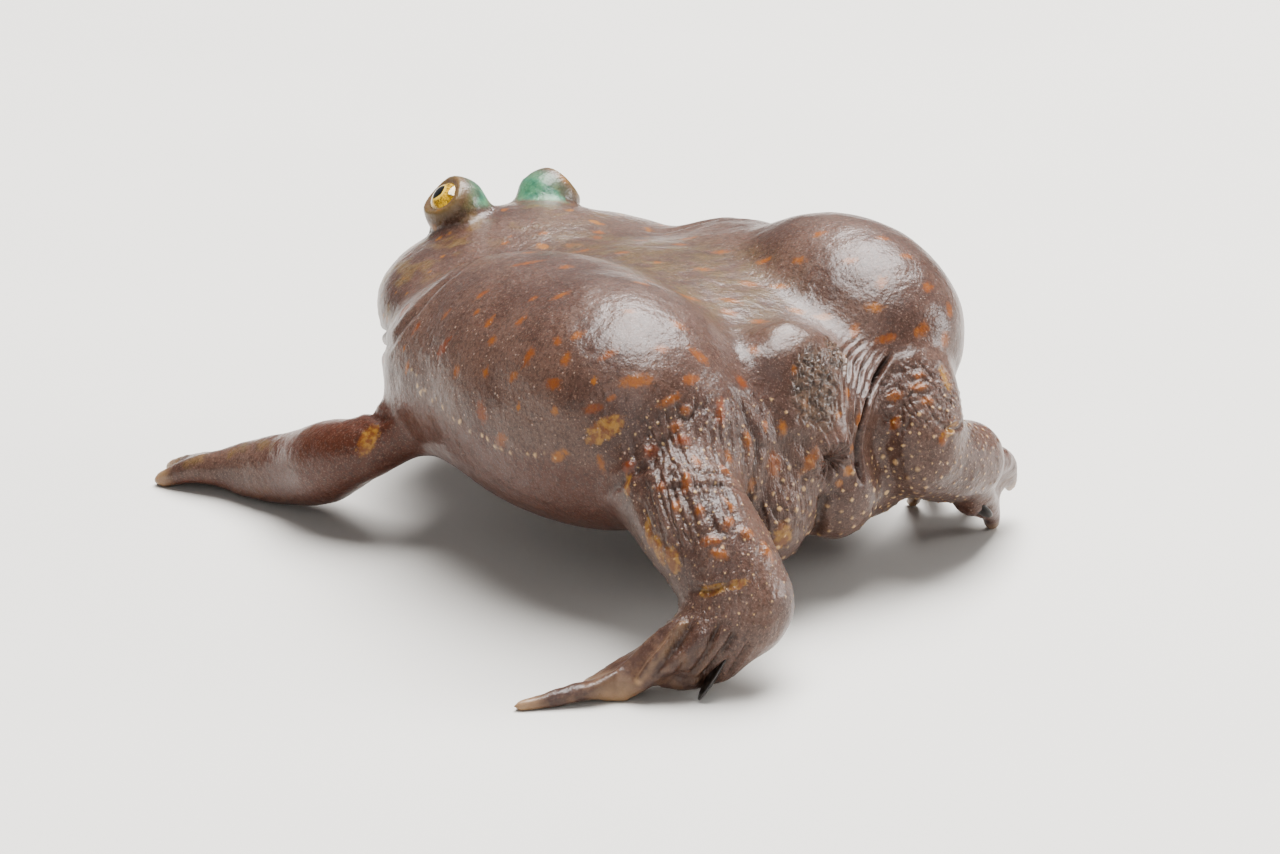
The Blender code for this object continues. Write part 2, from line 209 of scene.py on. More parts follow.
# The hide's grid
# The rump, the legs and the face have folds and warts under a millimetre wide, so they are divided
# once or twice. The belly and what lies behind have none, and get larger faces.
SEEN_FROM = np.array((0.539, 0.770, 0.342))
PLAIN_SHARE = 0.3
FACE_FROM = -34
LIPS_KEPT, LIPS_FINE = 3.0, 1.6
ROW_HEIGHT, ROW_REACH, ROW_END = 24.6, 2.6, 22
EYE_AIMS = {"left_eye": (0.674, -0.159, 0.722), "right_eye": (-0.802, -0.14, 0.581)}
FINE_PLACES = (
    ((0, 30, 20), 15), ((20, 31, 24), 12), ((22, 42, 14), 13), ((28, 44, 5), 10),
    ((-17, 30, 22), 13), ((-30, 26, 12), 9), ((-6, 26, 31), 8), ((0, -48, 30), 6),
)
KEPT_PLACES = FINE_PLACES + (
    ((38, -51, 3), 13), ((-38, -51, 3), 13), ((38, 39, 3), 13), ((-33, 17, 8), 15),
    ((7.1, -40.5, 36), 7), ((-7.6, -40.4, 35), 7), ((33, -22, 13), 8), ((-33, -22, 13), 8),
)
FINEST_PLACES = (
    ((-0.4, 29.6, 29.3), 5.4), ((-5.5, 27.4, 30.6), 4.2), ((-5.2, 30, 26), 3.2), ((-1, 31.5, 20.8), 3),
    ((20, 31.5, 26), 5.6), ((24, 36.5, 21.5), 5.6), ((-15, 31.5, 25.5), 5.4),
)


def faces_of(obj):
    """The faces' middles in mm from ZERO, and the ways that they look."""
    faces = obj.data.polygons
    return (rows_of(faces, "center") - np.array(ZERO)) / MM, rows_of(faces, "normal")


def edit_faces(obj, wanted, operator, **settings):
    """Runs an edit-mode operator on the faces for which `wanted`, a row of true or false, is true."""
    obj.data.vertices.foreach_set("select", np.zeros(len(obj.data.vertices), dtype=bool))
    obj.data.edges.foreach_set("select", np.zeros(len(obj.data.edges), dtype=bool))
    obj.data.polygons.foreach_set("select", wanted)
    select_only(obj)
    bpy.ops.object.mode_set(mode="EDIT")
    bpy.context.tool_settings.mesh_select_mode = (False, False, True)
    operator(**settings)
    bpy.ops.object.mode_set(mode="OBJECT")


def lengths_of(rows):
    return np.linalg.norm(rows, axis=1)


def line_gap(places, line):
    """How far each place is from a line of points, and how far along the line, from 0 to 1."""
    line = np.array(line, dtype=float)
    lengths = lengths_of(np.diff(line, axis=0))
    starts = np.concatenate(([0.0], np.cumsum(lengths)))
    best = np.full(len(places), np.inf)
    along = np.zeros(len(places))
    for index, length in enumerate(lengths):
        way = (line[index + 1] - line[index]) / length
        reach = np.clip((places - line[index]) @ way, 0, length)
        gap = lengths_of(places - line[index] - reach[:, None] * way)
        nearer = gap < best
        best = np.where(nearer, gap, best)
        along = np.where(nearer, (starts[index] + reach) / starts[-1], along)
    return best, along


def near_any(places, rounds):
    """True for the places that lie in one of the balls, each given as a centre and a reach."""
    inside = np.zeros(len(places), dtype=bool)
    for centre, reach in rounds:
        inside |= lengths_of(places - centre) < reach
    return inside


# The closed mouth runs round the blunt snout from corner to corner. It is found from the middle of
# the jaws, and its height in mm dips at the sides of the snout and rises at the corners.
JAW_MIDDLE = -26
MOUTH_HEIGHT, MOUTH_DIP, MOUTH_CORNERS = 21.8, 1.2, 4.5
surface = BVHTree.FromObject(hide, bpy.context.evaluated_depsgraph_get())
mouth = []
for degrees in range(-90, 91, 5):
    angle = math.radians(degrees)
    height = MOUTH_HEIGHT - MOUTH_DIP * math.sin(2 * abs(angle))
    height += MOUTH_CORNERS * (abs(degrees) / 90) ** 3
    start = ZERO + Vector((0, JAW_MIDDLE, height)) * MM
    hit = surface.ray_cast(start, Vector((math.sin(angle), -math.cos(angle), 0)))[0]
    mouth.append((hit - ZERO) / MM)

# Plain faces look away from the camera or lie on the face. The places above, the lips and the warts
# along the right flank are left out.
middles, ways = faces_of(hide)
lip_gap = line_gap(middles, mouth)[0]
x, y, z = middles.T
plain = (ways @ SEEN_FROM < -0.1) | (y < FACE_FROM)
plain &= ~near_any(middles, KEPT_PLACES) & (lip_gap > LIPS_KEPT)
plain &= (np.abs(z - ROW_HEIGHT) >= ROW_REACH) | (x > 0) | (y > ROW_END)
edit_faces(hide, plain, bpy.ops.mesh.decimate, ratio=PLAIN_SHARE)

# Fine faces are in the folds, along the mouth and on the lids
middles, ways = faces_of(hide)
lip_gap = line_gap(middles, mouth)[0]
fine = near_any(middles, FINE_PLACES) & (ways @ SEEN_FROM > 0.0) | (lip_gap < LIPS_FINE)
for name, aim in EYE_AIMS.items():
    spoke = middles - EYE_PLACES[name]
    gap = lengths_of(spoke)
    fine |= (gap < 5.6) & (spoke @ aim > 0.35 * gap)
edit_faces(hide, fine, bpy.ops.mesh.subdivide, number_cuts=1, ngon=False)
middles, ways = faces_of(hide)
finest = near_any(middles, FINEST_PLACES) & (ways @ SEEN_FROM > 0.25)
edit_faces(hide, finest, bpy.ops.mesh.subdivide, number_cuts=1, ngon=False)
even_out(hide, rounds=12)

# The blotches
# Orange and red blotches, an ochre patch on the left flank and ochre in the creases. They are laid on
# the hide as amounts from 0 to 1 at each point, and the material breaks up their edges.
here = places_of(hide)
out = normals_of(hide)
SEEN_RIGHT = np.array((-0.819, 0.574, 0.0))
SEEN_UP = np.array((-0.184, -0.263, 0.940))
# Place, length and width in mm, lean in degrees as seen from behind, and warmth from red to yellow
BLOTCHES = [
    (31.8, -4.9, 31.1, 3.2, 1.5, 38, 0.05), (26.3, -4.2, 36.8, 2.4, 1, 25, 0.35),
    (29.3, -7.9, 33.7, 2.2, 0.9, 45, 0.3), (28.3, -2, 35.6, 1.2, 0.9, 40, 0.45),
    (28.9, 1.6, 35.3, 2, 1.1, 70, 0.45), (30, 4.4, 34.3, 1.3, 1.2, 0, 0.5),
    (27.7, 6.8, 37, 2, 1.2, 35, 0.35), (30.7, 12.3, 34.4, 2.5, 1.5, 75, 0.35),
    (32.3, 5.2, 31, 1.5, 1.2, 80, 0.5), (33, 0.1, 29.4, 1.8, 1.4, 60, 0.4),
    (31.9, 10.8, 32.1, 2.2, 1.1, 15, 0.5), (28.1, 14.8, 36.7, 1.4, 1.1, 70, 0.35),
    (28.7, 17.8, 35.3, 1.8, 1.3, 70, 0.45), (30.8, 17.4, 32.5, 2.3, 1.5, 0, 0.3),
    (27.6, 22.3, 33.7, 1.2, 0.9, 80, 0.85), (25.1, 21.3, 36.5, 2.8, 1, 32, 0.3),
    (23.9, 25.7, 33.9, 4, 1.6, 10, 0.55), (26.2, 17, 37.6, 2, 1.2, 20, 0.5),
    (33.5, 6.4, 26.5, 2.8, 1.9, 100, 0.2), (32.6, 12.9, 28.6, 1.3, 0.9, 90, 0.85),
    (31.2, 18.9, 29.6, 1.3, 1.1, 30, 0.8), (28.8, 22.9, 30.8, 2.4, 1.2, 10, 0.2),
    (26.9, 24.4, 32.2, 1.2, 0.8, 20, 0.4), (24.6, 29.7, 26.5, 1.8, 1.6, 45, 0),
    (26.7, 28.2, 24.4, 1.8, 1.5, 45, 0), (28.2, 24.3, 24, 2, 1, 95, 0.6),
    (30.5, 20.3, 24.7, 1.1, 0.9, 30, 0.85), (33.3, 9.9, 23.9, 2.6, 1.6, 20, 0.4),
    (30.8, 19.3, 24, 2.4, 1.4, 30, 0.9), (32.7, -12.1, 26.6, 2, 1, 80, 0.5),
    (30.4, -13.6, 30.9, 2.2, 0.9, 55, 0.15), (31.8, -14.5, 28.4, 1, 0.7, 60, 0.5),
    (23.1, 8.9, 39.6, 2.6, 1.2, 30, 0.4), (24.8, 5.4, 38.4, 1.8, 0.9, 30, 0.4),
    (19.8, 18.4, 39.3, 1.6, 1, 10, 0.4), (15.7, -9.5, 38.7, 2.4, 1.4, 10, 0.45),
    (19, -4.8, 39.2, 4.6, 1.2, 16, 0.4), (17.5, 0.7, 39.7, 2.2, 1.6, 60, 0.45),
    (3.5, -15.5, 35.9, 2.4, 1.2, 10, 0.55), (1.5, -9.1, 36.9, 2, 1.3, 0, 0.55),
    (8.2, -2.3, 37.9, 3.2, 1.2, 8, 0.45), (3.5, -24.4, 35.7, 1.4, 1, 20, 0.5),
    (-5.4, -24.2, 35.6, 1.6, 1, 20, 0.5), (8.8, -26.1, 35.2, 1.3, 0.9, 30, 0.5),
    (0.6, -2.5, 37.2, 1.5, 1, 5, 0.6), (-7.2, -9.1, 37, 2.2, 1.2, 10, 0.5),
    (-2.8, 2.6, 37.1, 2.4, 1.2, -10, 0.6), (14, 12.2, 39.9, 2.2, 1.2, 20, 0.5),
    (5, 10.2, 36.3, 3, 1.2, -15, 0.6), (0.3, 12.1, 36, 3, 1.3, -25, 0.65),
    (15.2, 25.8, 35.1, 3, 1.4, -30, 0.4), (5.3, 24.6, 33.8, 1.8, 1.3, -60, 0.45),
    (9.4, 26.7, 31.1, 2, 1.6, 80, 0.15), (17.6, 27.8, 33.4, 2.4, 1.4, 20, 0.4),
    (21, 28.5, 31.6, 3, 1.2, 30, 0.45), (14.8, 30.3, 29.4, 3.2, 1.4, 75, 0.1),
    (19.4, 29.5, 30.4, 1.5, 1.2, 30, 0.35), (21.2, 29.9, 28.9, 1.7, 1.3, 40, 0.35),
    (21.1, 31.1, 27.6, 2, 1.4, -10, 0.1), (8, 30.2, 26.2, 1.4, 1, 80, 0.45),
    (5.5, 30.7, 25.5, 2, 1.1, 100, 0.75), (11.3, 31.2, 25.6, 2, 1.3, 95, 0.6),
    (15.2, 32.8, 24.8, 1.8, 1.3, 95, 0.55), (7.5, 31.2, 21.3, 3.2, 1.8, 105, 0.3),
    (11, 32, 19.9, 2.2, 1.2, 90, 0.6), (17.9, 35.4, 24.4, 1.8, 1.1, 100, 0.45),
    (21.1, 34.2, 25.8, 2, 1, 95, 0.5), (23.6, 35.7, 24.8, 1.6, 1, 90, 0.4),
    (24.2, 36.2, 23.8, 1.8, 1.2, 90, 0.3), (26.3, 34.1, 23.6, 1.6, 1.2, 90, 0.2),
    (25, 42.4, 19.2, 2.2, 1.4, 10, 0.35), (24.7, 43.8, 17.8, 2.2, 1.2, -20, 0.5),
    (20.8, 43.6, 19.5, 2, 1.5, 0, 0.5), (22.1, 42.1, 20.8, 2, 1.2, 60, 0.45),
    (24.6, 39.7, 22, 1.6, 1.2, 90, 0.4), (26.3, 37.2, 22.2, 1.8, 1.1, 100, 0.5),
    (20.8, 40.4, 22.3, 2.6, 1, 110, 0.5), (18.9, 45.3, 17.1, 2.6, 1.6, 90, 0.5),
    (2.7, 31.7, 20.8, 3.6, 1.4, 60, 0.55), (-3.4, 31.8, 18.5, 1.5, 1.3, 0, 0.9),
    (-2.1, 31.8, 16.9, 1.3, 1, 90, 0.8), (-14.2, 23, 35.2, 2.6, 1.3, 0, 0.75),
    (-19, 26.6, 32.3, 2.6, 1.5, 30, 0.45), (-24, 24.8, 33.3, 2.2, 1.4, 50, 0.4),
    (-22.1, 26.8, 30.7, 2.2, 1.6, 60, 0.45), (-14.1, 25.8, 32, 3, 1.2, 20, 0.35),
    (-11.1, 23, 33.1, 2.2, 1.2, 70, 0.45), (-8.8, 19.4, 34.2, 2.2, 1.3, 0, 0.7),
    (-6.3, 17, 34.7, 2.4, 1.3, -20, 0.7), (-21.2, 15, 40, 2, 1.2, 10, 0.45),
    (-22.1, 19, 38.6, 2, 1.2, 20, 0.4), (-15.2, 16.5, 39.2, 1.8, 1.1, 0, 0.5),
    (-15.9, 9.8, 40.3, 2.2, 1.3, 10, 0.5), (-11.5, 11.1, 38.5, 2, 1.2, -20, 0.55),
    (-22, 23.2, 36, 2, 1.3, 40, 0.4), (-7.7, 12, 36.4, 2.6, 1.2, -20, 0.65),
    (-9.5, 5.2, 38.3, 2.2, 1.2, 0, 0.5), (-12.4, 29.6, 25.9, 2, 1.5, 20, 0.45),
    (-15.1, 31.1, 27.1, 2.2, 1.3, 10, 0.45), (-11.4, 31, 22.9, 1.8, 1.3, 60, 0.4),
    (-15.5, 32.7, 25.5, 1.8, 1.2, 20, 0.5), (-16.6, 34.4, 20.5, 1.6, 1.2, 60, 0.35),
    (9.7, 8.9, 39.2, 2.4, 1.3, -10, 0.5), (15.1, 22.2, 38.3, 2.2, 1.4, -30, 0.45),
    (2.4, 14.7, 35.5, 2.6, 1.4, -30, 0.5), (-5.5, 9, 36.2, 2.8, 1.5, -15, 0.55),
    (0.5, 18.1, 34.8, 2.4, 1.5, -40, 0.5), (-8.3, -1.7, 36.9, 2.6, 1.4, -10, 0.5),
    (19.7, 24.8, 36.7, 2.2, 1.2, 15, 0.4), (-16.4, 21.2, 37.9, 2, 1.4, 60, 0.45),
    (-10.3, -11.2, 36.2, 2.4, 1.3, 0, 0.5), (-4.9, -14.8, 36, 2.6, 1.3, 10, 0.5),
    (-3.3, -21.7, 35.6, 2, 1.2, 0, 0.5), (2.4, 28.5, 31.8, 1.3, 0.8, 80, 0.6),
    (2, 30.2, 27.9, 1.4, 0.9, 60, 0.7), (-7.1, 26.1, 30.9, 1.3, 0.9, 80, 0.65),
    (-4.9, 29.7, 27.7, 1.5, 0.8, 80, 0.65), (-2.4, 31, 25.7, 1.2, 0.8, 40, 0.75),
    (-5.8, 30.9, 24.3, 1.8, 0.8, 85, 0.55), (-4.3, 31.3, 21.4, 1.4, 0.8, 85, 0.6),
    (-15.9, 30.2, 28, 1.6, 1, 20, 0.45),
]
OCHRE = [
    (28.1, 24.6, 28.2, 5.4, 2.5, 33), (27.5, 28.8, 22.4, 3, 1.2, 100), (28.5, 34.4, 18.4, 4, 1.2, 100),
    (27.9, 38.8, 16.1, 3.4, 2.2, 100), (28.4, 36.3, 16.7, 4, 1.8, 100), (26.4, 44.2, 13.8, 4, 1.3, 14),
    (24, 46.3, 14.8, 3, 1.1, 12), (-20, 31, 27, 3.6, 2, 100), (-18, 34.7, 21.6, 4, 1.1, 20),
    (7.2, 33, 12.6, 3.4, 2.6, 90), (35.1, -17.8, 15.7, 4.5, 2.2, 60), (-35.1, -17.8, 15.7, 4.5, 2.2, 60),
]
blotch = np.zeros(len(here))
warmth = np.full(len(here), 0.4)
ochre = np.zeros(len(here))
points = KDTree(len(here))
for index, place in enumerate(here):
    points.insert(place, index)
points.balance()


def lay_mark(amounts, place, length, width, lean, shade=None):
    """An oval mark at the nearest point of the hide: 0.5 at its edge, 1 in its middle."""
    centre, nearest, _ = points.find(place)
    normal = out[nearest]
    way = math.cos(math.radians(lean)) * SEEN_RIGHT + math.sin(math.radians(lean)) * SEEN_UP
    way = way - normal * (way @ normal)
    way /= np.linalg.norm(way)
    for spot, index, _ in points.find_range(centre, length):
        beyond = np.array(spot - centre)
        long_share = (beyond @ way) / (length / 2)
        wide_share = np.linalg.norm(beyond - (beyond @ way) * way) / (width / 2)
        amount = max(0.0, 1.0 - 0.5 * math.hypot(long_share, wide_share))
        if amount > amounts[index]:
            amounts[index] = amount
            if shade is not None:
                warmth[index] = shade


for x, y, z, length, width, lean, shade in BLOTCHES:
    lay_mark(blotch, (x, y, z), length, width, lean, shade)
for x, y, z, length, width, lean in OCHRE:
    lay_mark(ochre, (x, y, z), length, width, lean)

# The folds and wrinkles
# The hide hangs in soft folds where the legs leave the trunk, and is wrinkled over the thighs and the
# tailbone. Each is a rise or a hollow square to the skin, in mm.
rise = np.zeros(len(here))


def speckle(places, size, seed):
    """Smooth random values from 0 to 1 that change over `size` mm."""
    cell = places / size + 17.31 * (seed + 1)
    base = np.floor(cell).astype(np.int64)
    part = cell - base
    part = part * part * (3 - 2 * part)
    total = np.zeros(len(places))
    for corner in range(8):
        step = np.array([corner & 1, corner >> 1 & 1, corner >> 2 & 1])
        key = ((base + step) * (73856093, 19349663, 83492791)).sum(axis=1)
        key = (key ^ (key >> 13)) * 1274126177 & 0x7FFFFFFF
        value = ((key ^ (key >> 15)) & 0xFFFF) / 65535
        total += value * np.where(step, part, 1 - part).prod(axis=1)
    return total


def limit(values):
    """The values, with none below 0 or above 1."""
    return np.clip(values, 0, 1)


def within(centre, radii, soft=0.35):
    """1 at the points inside an oval region, fading to 0 over its outer part, a share of its radii."""
    gap = lengths_of((here - centre) / np.array(radii))
    share = limit((1 - gap) / soft)
    return share * share * (3 - 2 * share)


def on_hide(line):
    """A line of points in mm, filled in about every mm and brought onto the hide."""
    line = [Vector(point) for point in line]
    filled = []
    for one, two in zip(line, line[1:]):
        many = max(1, round((two - one).length))
        filled += [one.lerp(two, number / many) for number in range(many)]
    filled.append(line[-1])
    return [(surface.find_nearest(ZERO + point * MM)[0] - ZERO) / MM for point in filled]


def bell(gap, width):
    """1 where there is no gap, falling off over `width`."""
    return np.exp(-((gap / width) ** 2))


def fold(line, depth, width, rim=0.0, ends=0.12):
    """A furrow along a line of points, with a soft roll on each side. It fades over its ends, given as
    a share of its length. A negative depth makes a ridge."""
    gap, along = line_gap(here, on_hide(line))
    taper = limit(np.minimum(along, 1 - along) / ends)
    hollow = -depth * bell(gap, width)
    roll = rim * bell(gap - 2.1 * width, width)
    return (hollow + roll) * taper


# How far in mm most creases stray from straight
STRAY = 0.36


def creases(places, way, size, seed, stretch, stray=STRAY):
    """Thin lines that run along `way`, about `size` mm apart, drawn out by `stretch` and straying by
    about `stray` mm: 1 on a line."""
    way = np.array(way, dtype=float)
    way /= np.linalg.norm(way)
    drift = 0.9 * speckle(places, 3.5, seed + 50) + stray * speckle(places, 1.3, seed + 51)
    lengthwise = (places @ way)[:, None] * way
    squeezed = places - lengthwise + lengthwise / stretch + drift[:, None]
    return np.abs(1 - np.abs(2 * speckle(squeezed, size, seed) - 1)) ** 3


surface = BVHTree.FromObject(hide, bpy.context.evaluated_depsgraph_get())
rise += 0.16 * (speckle(here, 3.4, 61) - 0.5) + 0.07 * (speckle(here, 1.5, 62) - 0.5)

# Behind the vent and over the right thigh the loose hide hangs in deep folds
RIGHT_FOLD = [(-14.5, 26.4, 30.4), (-12.8, 26.8, 29.1), (-10.3, 28.1, 27.6), (-7.8, 29.9, 26),
              (-6.2, 30.8, 23.7), (-5.6, 31.1, 21), (-5.4, 31.5, 18.2), (-5.6, 31.4, 16)]
PATCH_SIDE = [(-11.6, 23.6, 32), (-9.6, 24.4, 32), (-6.9, 25.9, 31.4), (-4.6, 28.4, 29.2),
              (-3.7, 30.3, 26.3), (-3.4, 31.2, 23.2), (-3.7, 31.7, 20.8), (-4.2, 31.6, 18.6)]
LOBE_GROOVE = [(0, 31.5, 16.4), (0.1, 31.3, 14.2), (-0.5, 30.4, 11.2), (-0.8, 28.4, 8.6)]
LEFT_RUMP_FOLD = [(12.6, 27.4, 31.4), (10.6, 29.6, 28.2), (9.8, 31, 24.6), (10.6, 32, 20.6),
                  (13, 32.8, 16.6)]
NECK_FOLD = [(24, -31, 23.4), (28.6, -24.6, 25), (31, -18.6, 27.5), (28.4, -16, 32.2),
             (23.2, -15.4, 35.6), (16, -19, 36.2), (9.5, -22, 35.4)]
ANKLE_FOLD = [(27.6, 41.4, 13), (26.6, 44, 13.7), (24.9, 45.7, 14.5), (23.2, 46.7, 14.9)]
GROIN_FOLD = [(27.4, 24, 19.6), (27.8, 27.2, 22), (26, 30.6, 25.4), (22, 30.6, 29)]
KNEE_FOLD = [(27.6, 34.2, 24), (24, 37.2, 24.6), (19.6, 38, 23.8), (16.4, 37, 20.4)]
HEEL_FOLD = [(-16.4, 34.2, 22.2), (-18, 34.2, 21.7), (-19.8, 33.2, 21.2), (-21.4, 31.6, 21.4)]
ARMPIT_FOLD = [(31.6, -15.8, 19.6), (32.6, -18, 17.6), (31.4, -21.4, 15.4), (28.6, -23, 13.8)]
SOLE_FOLDS = (
    [(25, 47.9, 9.9), (26.1, 47.4, 7.8), (27.3, 46.5, 5.6), (28.1, 45.2, 3.1)],
    [(26.3, 46.3, 10.8), (28.2, 46.3, 7.3), (29.2, 45.8, 5.2), (29.8, 45, 3.4)],
    [(23.4, 47.8, 8), (24.4, 47.4, 5.4), (25.2, 46.4, 3)],
)
for line, depth, width, rim in (
    (RIGHT_FOLD, 1.15, 0.34, 0.3), (LOBE_GROOVE, 0.7, 0.6, 0.1), (LEFT_RUMP_FOLD, 0.35, 0.6, 0.12),
    (GROIN_FOLD, 0.3, 0.6, 0.12), (KNEE_FOLD, 0.25, 0.4, 0.1), (HEEL_FOLD, 0.4, 0.34, 0.12),
):
    rise += fold(line, depth, width, rim)
rise += fold(ANKLE_FOLD, 0.35, 0.45, 0.15, ends=0.3)
for share, depth in ((0.22, 0.3), (0.4, 0.36), (0.62, 0.24), (0.8, 0.3), (1.0, 0.2)):
    pleat = [Vector(one).lerp(two, share) for one, two in zip(RIGHT_FOLD, map(Vector, PATCH_SIDE))]
    uneven = 0.25 + 1.3 * speckle(here, 1.8, 65 + int(9 * share))
    rise += fold(pleat, depth, 0.28, 0.6 * depth) * uneven
for side in (1, -1):
    rise += fold([(side * x, y, z) for x, y, z in NECK_FOLD], 0.35, 0.8, 0.1)
    rise += fold([(side * x, y, z) for x, y, z in ARMPIT_FOLD], 0.4, 0.6, 0.12)
for sole_fold in SOLE_FOLDS:
    rise += fold(sole_fold, 0.42, 0.34, 0.16)

# The first toe lies on the sole as a thin pale ridge. Beside it the bones of the others lift the web.
FIRST_TOE = [(29.4, 43.4, 10.4), (30.2, 43, 9.2), (32.1, 42.9, 7.1), (33.6, 42.3, 5.3),
             (34.9, 41.8, 3.4)]
WEB_RIDGES = (
    [(28.3, 42.8, 10.9), (32.4, 40.5, 7.6), (35.2, 39.4, 4.7), (38.7, 39.3, 3), (42.2, 38.2, 1.9)],
    [(27.8, 45.8, 9.8), (29.4, 45.3, 7.9), (31.3, 44.6, 6), (31.9, 43.2, 4)],
)
rise += fold(FIRST_TOE, -0.65, 0.42, 0.0, 0.06)
rise += fold([(x - 0.9, y + 0.9, z) for x, y, z in FIRST_TOE], 0.4, 0.5)
for web_ridge in WEB_RIDGES:
    rise += fold(web_ridge, -0.35, 0.55)

# Fine creases follow the left thigh and shank, the skin beside the vent and the right knee
thigh = limit(within((20, 31, 26), (9, 8, 7)) + within((24, 36.5, 21.5), (7, 8, 7)))
shank = within((23, 44, 16), (8, 7, 6))
beside = limit(within((10, 30.5, 24), (6, 5, 10)) + within((4, 31.5, 18), (8, 4, 8)))
knee = within((-15, 31.5, 25.8), (7.5, 6, 5.5))
foot = within((27, 45, 7), (7, 5, 7))
THIGH_WAY = (0.2, 0.72, -0.66)
for region, depth, way, size, seed, stretch, stray in (
    (thigh, 0.42, THIGH_WAY, 0.85, 1, 22, 0.08), (thigh, 0.12, THIGH_WAY, 0.5, 6, 12, 0.1),
    (shank, 0.16, (0.5, 0.5, -0.7), 0.8, 2, 6, STRAY),
    (beside, 0.36, (-0.1, 0.4, -0.9), 0.9, 3, 14, 0.15),
    (knee, 0.24, (-0.5, 0.35, -0.75), 0.75, 4, 4, STRAY),
    (knee, 0.2, (-0.8, 0.3, 0.4), 0.8, 7, 3, STRAY),
    (foot, 0.18, (0.7, -0.3, -0.6), 0.8, 5, 6, STRAY),
):
    rise -= depth * region * creases(here, way, size, seed, stretch, stray)
rise += 0.14 * thigh * (speckle(here, 2.6, 64) - 0.5)

# Over the tailbone lies a cushion of crumpled skin, with a smaller one up beside it
CUSHIONS = (
    ((-0.2, 29.4, 29.4), (-0.18, -0.46, 0.87), 6.2, 4.3),
    ((-5.2, 26.6, 31.9), (-0.75, -0.55, 0.3), 4, 2.7),
)
cushion = np.zeros(len(here))
for centre, way, half_length, half_width in CUSHIONS:
    beyond = here - centre
    lengthwise = beyond @ np.array(way)
    crosswise = lengths_of(beyond - lengthwise[:, None] * np.array(way))
    oval = np.hypot(lengthwise / half_length, crosswise / half_width)
    ragged_oval = oval + 0.3 * (speckle(here, 1.8, 13) - 0.5)
    cushion = np.maximum(cushion, limit((1.0 - ragged_oval) / 0.4))
warped = here + 0.6 * (speckle(here, 1.0, 7)[:, None] - 0.5) * (1, -1, 1)
crumple = creases(warped, (0.3, 0.5, -0.8), 0.5, 8, 2.2)
crumple = np.maximum(crumple, 0.85 * creases(warped, (1, 0.2, 0.3), 0.6, 9, 1.4))
rise += cushion * (0.14 - 0.46 * crumple + 0.4 * (speckle(here, 1.4, 14) - 0.5))

# The vent is a small pit in a star of creases, with a raised ring round it and a swelling on each side
VENT = np.array((-0.8, 31.8, 20.4))
VENT_CREASES, VENT_RING, VENT_REACH = 13, 2.2, 3.6
SWELLINGS = (((-2.4, 31.5, 22.8), 0.9, 1.7), ((2.2, 31.6, 20.6), 0.5, 1.6))
spoke = here - VENT
flat_gap = np.hypot(spoke[:, 0], spoke[:, 2])
by_vent = limit((3.5 - np.abs(spoke[:, 1])) / 1.0)
turn = np.arctan2(spoke[:, 2], spoke[:, 0])
star = (0.5 + 0.5 * np.cos(VENT_CREASES * turn + 5 * speckle(here, 1.5, 9))) ** 2
rise += 0.7 * bell(flat_gap - VENT_RING, 1.1) * by_vent * (0.75 + 0.25 * np.sin(turn))
rise -= 0.55 * star * limit(1.2 - flat_gap / VENT_REACH) * by_vent
rise -= 0.7 * bell(flat_gap, 0.55) * by_vent
for place, height, width in SWELLINGS:
    rise += height * bell(lengths_of(here - place), width)

# The face has the line of the mouth between its lips, and two small nostrils on top of the snout
NOSTRIL_PLACE = (3.0, -47.2)
gap, along = line_gap(here, mouth)
rise -= 0.75 * bell(gap, 0.3) * np.clip(np.minimum(along, 1 - along) / 0.04, 0.25, 1)
rise += 0.14 * bell(gap - 0.95, 0.5)
for side in (1, -1):
    above = ZERO + Vector((side * NOSTRIL_PLACE[0], NOSTRIL_PLACE[1], 60)) * MM
    hit = surface.ray_cast(above, Vector((0, 0, -1)))[0]
    nostril = np.array((hit - ZERO) / MM)
    gap = lengths_of((here - nostril) / (0.8, 1.0, 1.0))
    rise -= 0.9 * bell(gap, 0.5)
    rise += 0.28 * bell(gap - 1.15, 0.45)

# Warts
# Low pale warts sit on the rump, the legs and the right heel, and a thin row of them follows the edge
# between the flank and the belly.
def scatter(likely, spacing, seed):
    """Points of the hide, no two nearer than `spacing` mm, chosen where `likely` is high."""
    draw = np.random.default_rng(seed)
    order = draw.permutation(len(here))
    order = order[draw.random(len(order)) < likely[order]]
    taken = {}
    chosen = []
    for index in order:
        x, y, z = (int(v) for v in here[index] // spacing)
        close = (
            other
            for dx in (-1, 0, 1) for dy in (-1, 0, 1) for dz in (-1, 0, 1)
            for other in taken.get((x + dx, y + dy, z + dz), ())
        )
        if all(math.dist(here[index], here[other]) >= spacing for other in close):
            taken.setdefault((x, y, z), []).append(index)
            chosen.append(index)
    return chosen


cream = np.zeros(len(here))


def raise_wart(centre, radius, height, pale):
    """One wart at a place in mm: a smooth low dome, pale towards its top."""
    for _, index, gap in points.find_range(centre, radius * 1.4):
        dome = max(0.0, 1 - (gap / (radius * 1.4)) ** 2) ** 2
        rise[index] += height * dome
        cream[index] = max(cream[index], pale * min(1.0, 1.6 * max(0.0, 1.0 - gap / (radius * 1.15))))


